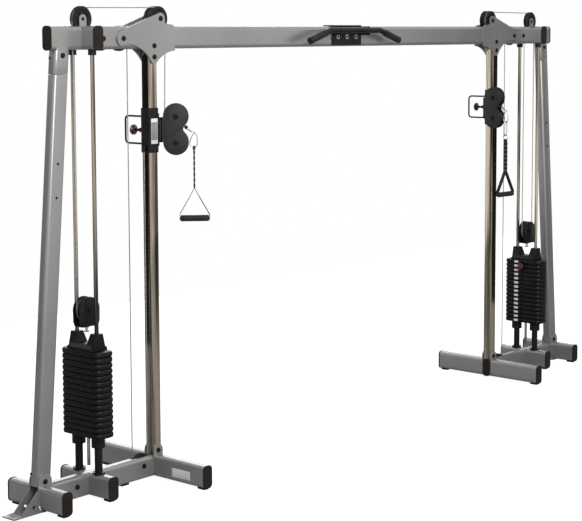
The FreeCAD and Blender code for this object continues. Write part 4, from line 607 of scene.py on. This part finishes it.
# ---------------------------------------------------------------- floating pulley yokes
# Two arched steel plates as wide as the wheel, joined by a web below, on a bright eye bolt that stands in the
# head plate and is locked by a nut.
STAND = Matrix.Rotation(math.pi / 2, 4, "X")
for side, sign in TOWERS:
    centre = Vector(joints[side + "_floating_turn"]["pos_m"])
    stack = joints[side + "_stack_lift"]["child"]
    sweep = [math.pi * step / 24 for step in range(25)]
    arch = [(0.057 * math.cos(angle), 0.057 * math.sin(angle)) for angle in sweep]
    arch += [(-0.056, -0.050), (-0.050, -0.066), (-0.044, -0.071)]
    arch += [(0.044, -0.071), (0.050, -0.066), (0.056, -0.050)]
    upright_place = Matrix.Translation(centre) @ STAND
    axle = [(0.0002, -0.023), (0.0059, -0.023), (0.0059, 0.023), (0.0002, 0.023)]
    forms = [slab(arch, 0.018, 0.023, 0.0008, upright_place),
             slab(arch, -0.023, -0.018, 0.0008, upright_place),
             brick((-0.044, -0.071, -0.0185), (0.044, -0.063, 0.0185), upright_place),
             turned(axle, centre, (0, 1, 0), 24)]
    fitted(side + "_yoke_plates", closed("yoke", *joined(*forms)), stack, "black_steel", black_coat,
           side + "_pulley_yoke")
    ends = [centre + Vector((0, y, 0)) for y in (-0.023, 0.023)]
    mesh = repeated(side + "_yoke_bolt", closed("bolt_form", *joined(WASHER, HEXAGON)), ends,
                    [(0, -1, 0), (0, 1, 0)], [BIG_HEAD] * 2, bolt_steel)
    fitted(side + "_yoke_bolt", mesh, stack, "black_steel", bolt_steel)
    foot = Vector((centre.x, 0, 0))
    stem = [(0.0002, 0.7203), (0.0058, 0.7203), (0.0058, 0.7469), (0.0002, 0.7469)]
    eye_bolt = joined(turned(stem, foot, UP, 24),
                      turned([(0.0060, 0.7206), (0.0108, 0.7206), (0.0112, 0.7212), (0.0112, 0.7284),
                              (0.0108, 0.7290), (0.0060, 0.7290)], foot, UP, 6),
                      turned([(0.0060, 0.7395), (0.0100, 0.7395), (0.0105, 0.7425), (0.0100, 0.7468),
                              (0.0060, 0.7468)], foot, UP, 24))
    fitted(side + "_eye_bolt", closed("eye_bolt", *eye_bolt), stack, "bright_steel", zinc)

# ---------------------------------------------------------------- uprights
# Rounded steel tube, 77 x 50 mm, leaning in from the base to the top beam. It is butted to the stub of the
# top beam at a bolted joint, and carries small button-head screws on its front and outer faces.
LEAN, FOOT_X, FOOT_Z = -0.07965, 2.019, 0.110
HALF_LONG = 0.0385
small_screws, small_facings = [], []
for side, sign in TOWERS:
    forms = []
    for low, high, half_y in ((0.1085, 1.829, 0.025), (1.831, 1.9295, 0.0253)):
        lean = Matrix.Identity(4)
        lean[0][2] = LEAN * sign
        lean[0][3] = sign * (FOOT_X - LEAN * FOOT_Z)
        forms.append(slab(rounded(HALF_LONG, half_y, 0.012), low, high, 0.0008, lean))
    fitted(side + "_upright_tube", closed("upright", *joined(*forms)), "frame", "frame_paint", silver,
           "uprights")
    for z in (1.4575, 1.316):
        small_screws.append((sign * (FOOT_X + LEAN * (z - FOOT_Z)), -0.025, z))
        small_facings.append((0, -1, 0))
    for z, y in ((1.898, 0.012), (0.158, 0.018)):
        small_screws.append((sign * (FOOT_X + HALF_LONG + LEAN * (z - FOOT_Z)), y, z))
        small_facings.append((sign, 0, 0.0797))
mesh = repeated("upright_screws", closed("button", *BUTTON), small_screws, small_facings,
                [0.0058] * len(small_screws), bolt_steel)
fitted("upright_screws", mesh, "frame", "black_steel", bolt_steel)

# ---------------------------------------------------------------- swivel heads
# A figure-of-eight cheek of 4 mm steel on each side of the two pulleys, welded to a barrel that turns on the
# carriage's hinge pin. Each pulley runs between two spacers on an axle with hollow-headed black bolts.
head_coat = surface_finish("matt_black_coat", (0.012, 0.0115, 0.012), (0.020, 0.0192, 0.020), 0.0,
                           (0.5, 0.62), patch=14.0, grain=1800.0, bump=0.16, mirror=0.3)
CARRIAGE_Z, HINGE_X = 1.570, 1.291
HEAD_OFFSET, HEAD_RISE, HEAD_DROP = 0.070, 0.060, -0.056
CHEEK_RADIUS, WAIST_RADIUS = 0.0575, 0.022
HEAD_PLACES = {}
for side, sign in TOWERS:
    angle = math.radians(-45 if sign < 0 else 265)
    place = Matrix.Translation((sign * HINGE_X, 0, 0)) @ Matrix.Rotation(angle, 4, "Z")
    HEAD_PLACES[side] = place
    body = joints[side + "_head_swivel"]["child"]
    outline = []
    for centre_z, first, last in ((HEAD_RISE, -46.85, 180), (HEAD_DROP, 180, 406.85)):
        for step in range(45):
            way = math.radians(first + (last - first) * step / 44)
            outline.append((HEAD_OFFSET + CHEEK_RADIUS * math.cos(way),
                            CARRIAGE_Z + centre_z + CHEEK_RADIUS * math.sin(way)))
    for step in range(1, 12):
        way = math.radians(226.85 - 93.7 * step / 12)
        outline.append((0.12437 + WAIST_RADIUS * math.cos(way),
                        CARRIAGE_Z + 0.002 + WAIST_RADIUS * math.sin(way)))
    standing = place @ STAND
    forms = [slab(outline, 0.016, 0.020, 0.0007, standing),
             slab(outline, -0.020, -0.016, 0.0007, standing),
             brick((0.0085, -0.020, CARRIAGE_Z - 0.046), (0.0128, 0.020, CARRIAGE_Z + 0.046), place)]
    barrel = [(0.0052, -0.046), (0.0106, -0.046), (0.011, -0.0455), (0.011, 0.0455), (0.0106, 0.046),
              (0.0052, 0.046)]
    forms.append(turned(barrel, place @ Vector((0, 0, CARRIAGE_Z)), UP, 32))
    across = place.to_3x3() @ Vector((0, 1, 0))
    bolts = []
    for rise in (HEAD_RISE, HEAD_DROP):
        middle = place @ Vector((HEAD_OFFSET, 0, CARRIAGE_Z + rise))
        axle = [(0.0002, -0.0165), (0.0059, -0.0165), (0.0059, 0.0165), (0.0002, 0.0165)]
        forms.append(turned(axle, middle, across, 24))
        for end in (-1, 1):
            spacer = [(0.0060, 0.0093), (0.0095, 0.0093), (0.0095, 0.0162), (0.0060, 0.0162)]
            forms.append(turned(spacer, middle, across * end, 28))
            bolt = [(0.0002, 0.0199), (0.0130, 0.0199), (0.0132, 0.0215), (0.0122, 0.0236), (0.0092, 0.0246),
                    (0.0066, 0.0246), (0.0060, 0.0216), (0.0002, 0.0216)]
            bolts.append(turned(bolt, middle, across * end, 36))
    fitted(side + "_head_cheeks", closed("head_cheeks", *joined(*forms)), body, "black_steel", head_coat,
           side + "_swivel_housing")
    fitted(side + "_head_bolts", closed("head_bolts", *joined(*bolts)), body, "black_steel", bolt_steel)

# ---------------------------------------------------------------- knobs and pins
# Dark red moulded mushroom knobs pressed on steel pins: the blackened pair locks the carriages, the bright
# pair picks the weight plates.
red = surface_finish("dark_red_plastic", (0.045, 0.006, 0.006), (0.075, 0.010, 0.010), 0.0, (0.25, 0.36),
                     patch=40.0, grain=1500.0, bump=0.08, coat=0.3)
for side, sign in TOWERS:
    lock = joints[side + "_lock_pull"]["child"]
    foot = Vector((sign * 1.356, 0, CARRIAGE_Z))
    pin = [(0.0002, 0.0256), (0.0042, 0.0256), (0.0050, 0.0266), (0.0050, 0.037), (0.0060, 0.037),
           (0.0060, 0.0945), (0.0002, 0.0945)]
    cap = [(0.0061, 0.0900), (0.0095, 0.0900), (0.0120, 0.0950), (0.0200, 0.0985), (0.0232, 0.1010),
           (0.0235, 0.1035), (0.0222, 0.1065), (0.0165, 0.1095), (0.0080, 0.1108), (0.0002, 0.1110),
           (0.0002, 0.0946), (0.0061, 0.0946)]
    fitted(side + "_lock_pin", closed("lock_pin", *turned(pin, foot, (0, 1, 0), 28)), lock, "bright_steel",
           bolt_steel, side + "_pop_pin")
    fitted(side + "_lock_knob", closed("lock_knob", *turned(cap, foot, (0, 1, 0), 48)), lock, "red_knob", red)
    low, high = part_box(side + "_selector_pin")
    start = Vector((high[0] if sign > 0 else low[0], (low[1] + high[1]) / 2, (low[2] + high[2]) / 2))
    long = high[0] - low[0]
    picker = joints[side + "_pin_draw"]["child"]
    pin = [(0.0002, 0), (0.0038, 0), (0.0045, 0.001), (0.0045, long - 0.014), (0.0002, long - 0.014)]
    cap = [(0.0046, long - 0.024), (0.0085, long - 0.024), (0.0100, long - 0.017), (0.0178, long - 0.0135),
           (0.0199, long - 0.011), (0.0199, long - 0.007), (0.0175, long - 0.0025), (0.0080, long - 0.0003),
           (0.0002, long), (0.0002, long - 0.0138), (0.0046, long - 0.0138)]
    way = (-sign, 0, 0)
    fitted(side + "_picker_pin", closed("picker_pin", *turned(pin, start, way, 24)), picker, "bright_steel",
           zinc, side + "_selector_pin")
    knob = closed("picker_knob", *turned(cap, start, way, 44))
    fitted(side + "_picker_knob", knob, picker, "red_knob", red)

# ---------------------------------------------------------------- blank plates on the frame
# A thin two-tone plate on the front of the left carriage and a pale one on its base foot, both left blank.
grey_print = surface_finish("grey_print", (0.20, 0.20, 0.21), (0.28, 0.28, 0.29), 0.1, (0.35, 0.5),
                            patch=40.0, grain=900.0, bump=0.1)
slide = joints["left_carriage_slide"]["child"]
panel = Matrix.Translation((-1.3565, -0.0300, 1.5675)) @ STAND
plate_form = slab(rounded(0.0200, 0.0560, 0.002), 0, 0.0006, 0.0001, panel)
fitted("carriage_plate", closed("carriage_plate", *plate_form), slide, "bright_steel", tag_white)
fitted("carriage_plate_print",
       closed("plate_print", *slab(rounded(0.0190, 0.0400, 0.001), 0.0006, 0.0008, 0.00005, panel)),
       slide, "bright_steel", grey_print)
foot_plate = brick((-1.3818, -0.254, 0.030), (-1.3809, -0.142, 0.070))
fitted("foot_plate", closed("foot_plate", *foot_plate), "frame", "bright_steel", tag_white)

# ---------------------------------------------------------------- cables
# Nylon-coated steel cable, 4.8 mm, whose strands show through the coat. It runs from the carriage's foot
# round the base pulley, over the beam, round the floating pulley, over the top and down into the swivel head.
cable_coat = surface_finish("coated_cable", (0.16, 0.16, 0.165), (0.40, 0.40, 0.41), 0.5, (0.28, 0.4),
                            patch=160.0, grain=900.0, bump=0.5, depth=0.0004, stretch=(1, 1, 0.5), coat=0.3)
dress("fixed_cables", cable_coat)


def hose(path, radius, sides=12, ring=False):
    """Points and faces of a round wire along a path. A ring closes on itself, other wires have flat ends."""
    path = [Vector(point) for point in path]
    count = len(path)
    points, faces, across = [], [], None
    for index, here in enumerate(path):
        before = path[index - 1] if ring or index else here
        after = path[(index + 1) % count] if ring or index < count - 1 else here
        run = (after - before).normalized()
        across = run.orthogonal() if across is None else across
        across = (across - run * across.dot(run)).normalized()
        up = run.cross(across)
        for step in range(sides):
            angle = 2 * math.pi * step / sides
            points.append(here + (across * math.cos(angle) + up * math.sin(angle)) * radius)
    for index in range(count if ring else count - 1):
        here, there = index * sides, ((index + 1) % count) * sides
        for step in range(sides):
            following = (step + 1) % sides
            faces.append((here + step, here + following, there + following, there + step))
    if not ring:
        faces.append(tuple(reversed(range(sides))))
        faces.append(tuple(range((count - 1) * sides, count * sides)))
    return points, faces


def straight(start, end, steps):
    """Even steps from one point to another."""
    start, end = Vector(start), Vector(end)
    return [start.lerp(end, step / steps) for step in range(steps + 1)]


def flexing(name, path):
    """A cable strand that reaches from one body to the other."""
    piece = bpy.data.objects.new(name, closed(name, *hose(path, CABLE_RADIUS)))
    scene.collection.objects.link(piece)
    piece.data.materials.append(cable_coat)
    shaded(piece)
    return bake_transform(piece)


for side, sign in TOWERS:
    place = HEAD_PLACES[side]
    stack, slide = joints[side + "_stack_lift"]["child"], joints[side + "_carriage_slide"]["child"]
    head, stop = joints[side + "_head_swivel"]["child"], joints[side + "_cable_pull"]["child"]
    centre = Vector(joints[side + "_floating_turn"]["pos_m"])
    wrap = [centre + Vector((FLOATING_LINE * math.cos(math.pi + math.pi * step / 32), 0,
                             FLOATING_LINE * math.sin(math.pi + math.pi * step / 32))) for step in range(33)]
    near, far = wrap[0], wrap[-1]
    top = 1.9765
    path = straight((near.x, 0, top), near, 24)[:-1] + wrap + straight(far, (far.x, 0, top), 24)[1:]
    bight = flexing(side + "_floating_bight", path)
    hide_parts(side + "_stack_cable")
    anchor_x = sign * 1.3925
    foot = (anchor_x, 0, CARRIAGE_Z - 0.092)
    flexing(side + "_anchor_strand", straight((anchor_x, 0, 0.0695), foot, 30))
    over = Vector((sign * 1.265, -0.012, 2.0625))
    into = place @ Vector((0.020, 0, CARRIAGE_Z + HEAD_RISE))
    way = (over - into).normalized()
    over, into = over - way * 0.0005, into + way * 0.0005
    knee = into + way * 0.13
    drop = flexing(side + "_drop_strand", straight(over, knee, 24))
    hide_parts(side + "_carriage_cable")
    flexing(side + "_drop_end", straight(knee, into, 14))
    bend = []
    for step in range(25):
        angle = math.pi + math.pi / 2 * step / 24
        bend.append(place @ Vector((HEAD_OFFSET + HEAD_LINE * math.cos(angle), 0,
                                    CARRIAGE_Z + HEAD_RISE + HEAD_LINE * math.sin(angle))))
    out = place @ Vector((0.1045, 0, CARRIAGE_Z + 0.010))
    path = bend + straight(bend[-1], out, 20)[1:]
    pulled = flexing(side + "_head_bend", path)
    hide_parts(side + "_head_cable")

# ---------------------------------------------------------------- cable ends and handles
# A black ball keeps the cable from running in, a crimped silver ferrule ends in an eye, and a wire snap hook
# carries a stitched webbing strap with a foam-covered grip. The stitches are pale bars whose colour also
# paints the strap's white glints, a painted highlight. The right strap hangs lower, on a longer link and a
# ring.
HOOK_X, HOOK_LOW = 0.149, 1.4912
rubber = surface_finish("black_rubber", (0.006, 0.006, 0.006), (0.014, 0.014, 0.014), 0.0, (0.6, 0.75),
                        patch=30.0, grain=1300.0, bump=0.4, depth=0.0004, mirror=0.3)
webbing = surface_finish("nylon_webbing", (0.006, 0.006, 0.007), (0.018, 0.018, 0.020), 0.0, (0.7, 0.85),
                         patch=60.0, grain=700.0, bump=0.6, depth=0.0006, mirror=0.3)
# Pale thread for the stitch bars: stitching, and in its pale colour a painted highlight for the strap's
# glints.
stitch_and_glint_colour = surface_finish("pale_thread_and_painted_glint", (0.30, 0.30, 0.30), (0.60, 0.60, 0.60), 0.0, (0.6, 0.8), patch=200.0,
                        grain=1500.0, bump=0.4)
dress("pull_up_grips", rubber)


def curved(corners, steps=6):
    """A smooth closed path through points."""
    corners = [Vector(corner) for corner in corners]
    path, count = [], len(corners)
    for index in range(count):
        a, b, c, d = (corners[(index + shift) % count] for shift in (-1, 0, 1, 2))
        for step in range(steps):
            t = step / steps
            path.append(0.5 * (2 * b + (c - a) * t + (2 * a - 5 * b + 4 * c - d) * t * t
                               + (3 * b - 3 * c + d - a) * t * t * t))
    return path


def ribbon(path, thick):
    """Outline of a band seen edge-on: a path of (x, z) and its thickness at every point."""
    left, right = [], []
    for index, point in enumerate(path):
        before, after = path[max(index - 1, 0)], path[min(index + 1, len(path) - 1)]
        run = (Vector(after) - Vector(before)).normalized()
        half = thick[index] / 2
        left.append((point[0] + run.y * half, point[1] - run.x * half))
        right.append((point[0] - run.y * half, point[1] + run.x * half))
    return left + list(reversed(right))


for side, sign in TOWERS:
    place = HEAD_PLACES[side]
    stop, handle = joints[side + "_cable_pull"]["child"], joints[side + "_handle_swing"]["child"]
    held = joints[side + "_grip_turn"]["child"]
    ball_at = Vector((0.115, 0, CARRIAGE_Z + 0.010))
    eye_at = Vector((0.1476, 0, 1.5575))
    way = (eye_at - ball_at).normalized()
    ball = [(0.0085 * math.sin(math.pi * step / 20) + 0.0002, -0.0085 * math.cos(math.pi * step / 20))
            for step in range(21)]
    forms = turned(ball, place @ ball_at, place.to_3x3() @ way, 36)
    fitted(side + "_cable_ball", closed("cable_ball", *forms), stop, "black_rubber", rubber,
           side + "_ball_stop")
    long = (eye_at - ball_at).length - 0.0075
    crimp = [(0.0002, 0.007), (0.0046, 0.007)]
    for ridge in range(3):
        start = 0.008 + ridge * (long - 0.009) / 3
        crimp += [(0.0060, start + 0.0008), (0.0060, start + 0.0048), (0.0044, start + 0.0060)]
    crimp += [(0.0044, long), (0.0002, long)]
    eye_ring = [eye_at + (way * math.cos(t) + Vector((0, 1, 0)) * math.sin(t)) * 0.008
                for t in (2 * math.pi * step / 32 for step in range(32))]
    forms = joined(turned(crimp, place @ ball_at, place.to_3x3() @ way, 24),
                   hose([place @ point for point in eye_ring], 0.0022, 10, ring=True))
    fitted(side + "_cable_eye", closed("cable_eye", *forms), stop, "bright_steel", zinc)

    bar = eye_at + way * 0.008
    corners = [(bar.x, 0, bar.z + 0.0050), (bar.x + 0.0050, 0, bar.z - 0.0005), (0.1640, 0, 1.535),
               (0.1654, 0, 1.513), (0.1628, 0, 1.4995), (0.1565, 0, 1.4925), (HOOK_X, 0, HOOK_LOW),
               (0.1412, 0, 1.4925), (0.1343, 0, 1.4995), (0.1322, 0, 1.513), (0.1375, 0, 1.532),
               (bar.x - 0.0050, 0, bar.z - 0.0005)]
    wires = [hose([place @ point for point in curved(corners)], 0.0022, 12, ring=True)]
    turn_strap = Matrix.Identity(4)
    strap_top = HOOK_LOW + 0.0023 - 0.0062
    if sign > 0:
        turn_strap = Matrix.Rotation(math.pi / 2, 4, "Z")
        link = [(0, -0.0105, 1.4880), (0, -0.0060, 1.4955), (0, 0, 1.4967), (0, 0.0060, 1.4955),
                (0, 0.0105, 1.4880), (0, 0.0110, 1.4560), (0, 0.0105, 1.4255), (0, 0.0060, 1.4179),
                (0, 0, 1.4167), (0, -0.0060, 1.4179), (0, -0.0105, 1.4255), (0, -0.0110, 1.4560)]
        out = Vector((HOOK_X, 0, 0))
        wires.append(hose([place @ (point + out) for point in curved(link)], 0.0028, 12, ring=True))
        ring = [place @ Vector((HOOK_X + 0.015 * math.cos(t), 0, 1.4075 + 0.015 * math.sin(t)))
                for t in (2 * math.pi * step / 36 for step in range(36))]
        wires.append(hose(ring, 0.0027, 12, ring=True))
        strap_top = 1.3925 + 0.0028 - 0.0062
    fitted(side + "_snap_wire", closed("snap_wire", *joined(*wires)), handle, "bright_steel", zinc,
           side + "_snap_hook")

    hang = place @ Matrix.Translation((0.150, 0, 0)) @ turn_strap
    grip_z = joints[side + "_grip_turn"]["pos_m"][2]
    stem_low = grip_z + 0.135
    stem_high = strap_top - 0.0075
    loop_axis = place.to_3x3() @ Vector((1, 0, 0))
    forms = [turned([(0.0062, -0.006), (0.0086, -0.006), (0.0086, 0.006), (0.0062, 0.006)],
                    hang @ Vector((0, 0, strap_top)), loop_axis, 28)]
    steps = 56
    path = [(0, stem_low + (stem_high - stem_low) * step / steps) for step in range(steps + 1)]
    pocket = (stem_high - stem_low) / 7
    thick = [0.0042 + 0.0042 * abs(math.sin(math.pi * (z - stem_low) / pocket)) ** 0.6 for x, z in path]
    forms.append(slab(ribbon(path, thick), -0.0115, 0.0115, 0.0006, hang @ STAND))
    ends = 0.0665
    left_leg = [(-ends, grip_z - 0.0085), (-ends, grip_z + 0.0180),
                (-ends * 0.5, (grip_z + 0.018 + stem_low) / 2)]
    right_leg = [(-x, z) for x, z in reversed(left_leg)]
    bridle = left_leg + [(0, stem_low + 0.001)] + right_leg
    leg_thick = [0.0022, 0.0022, 0.0022, 0.003, 0.0034, 0.0034, 0.0034]
    forms.append(slab(ribbon(bridle, leg_thick), -0.0110, 0.0110, 0.0005, hang @ STAND))
    along = (hang.to_3x3() @ Vector((1, 0, 0))).normalized()
    middle = hang @ Vector((0, 0, grip_z))
    core = [(0.0002, -ends), (0.0064, -ends), (0.0064, ends), (0.0002, ends)]
    forms.append(turned(core, middle, along, 28))
    fitted(side + "_web_strap", closed("web_strap", *joined(*forms)), handle, "webbing", webbing,
           side + "_strap")
    # Pale stitch bars at each pocket: real stitching, drawn pale as a painted highlight for the strap's
    # glints.
    stitch_glint_bars = []
    for index in range(8):
        z = stem_low + index * pocket
        stitch_glint_bars.append(brick((-0.0027, -0.0080, z - 0.0010), (0.0027, 0.0080, z + 0.0010), hang))
    fitted(side + "_strap_stitches", closed("stitch_glint_bars", *joined(*stitch_glint_bars)), handle, "webbing", stitch_and_glint_colour)
    foam = [(0.0068, -0.0615), (0.0125, -0.0635), (0.0140, -0.0605), (0.0142, -0.030), (0.0138, 0),
            (0.0142, 0.030), (0.0140, 0.0605), (0.0125, 0.0635), (0.0068, 0.0615)]
    fitted(side + "_foam_grip", closed("foam_grip", *turned(foam, middle, along, 40)), held, "black_rubber",
           rubber, side + "_grip")
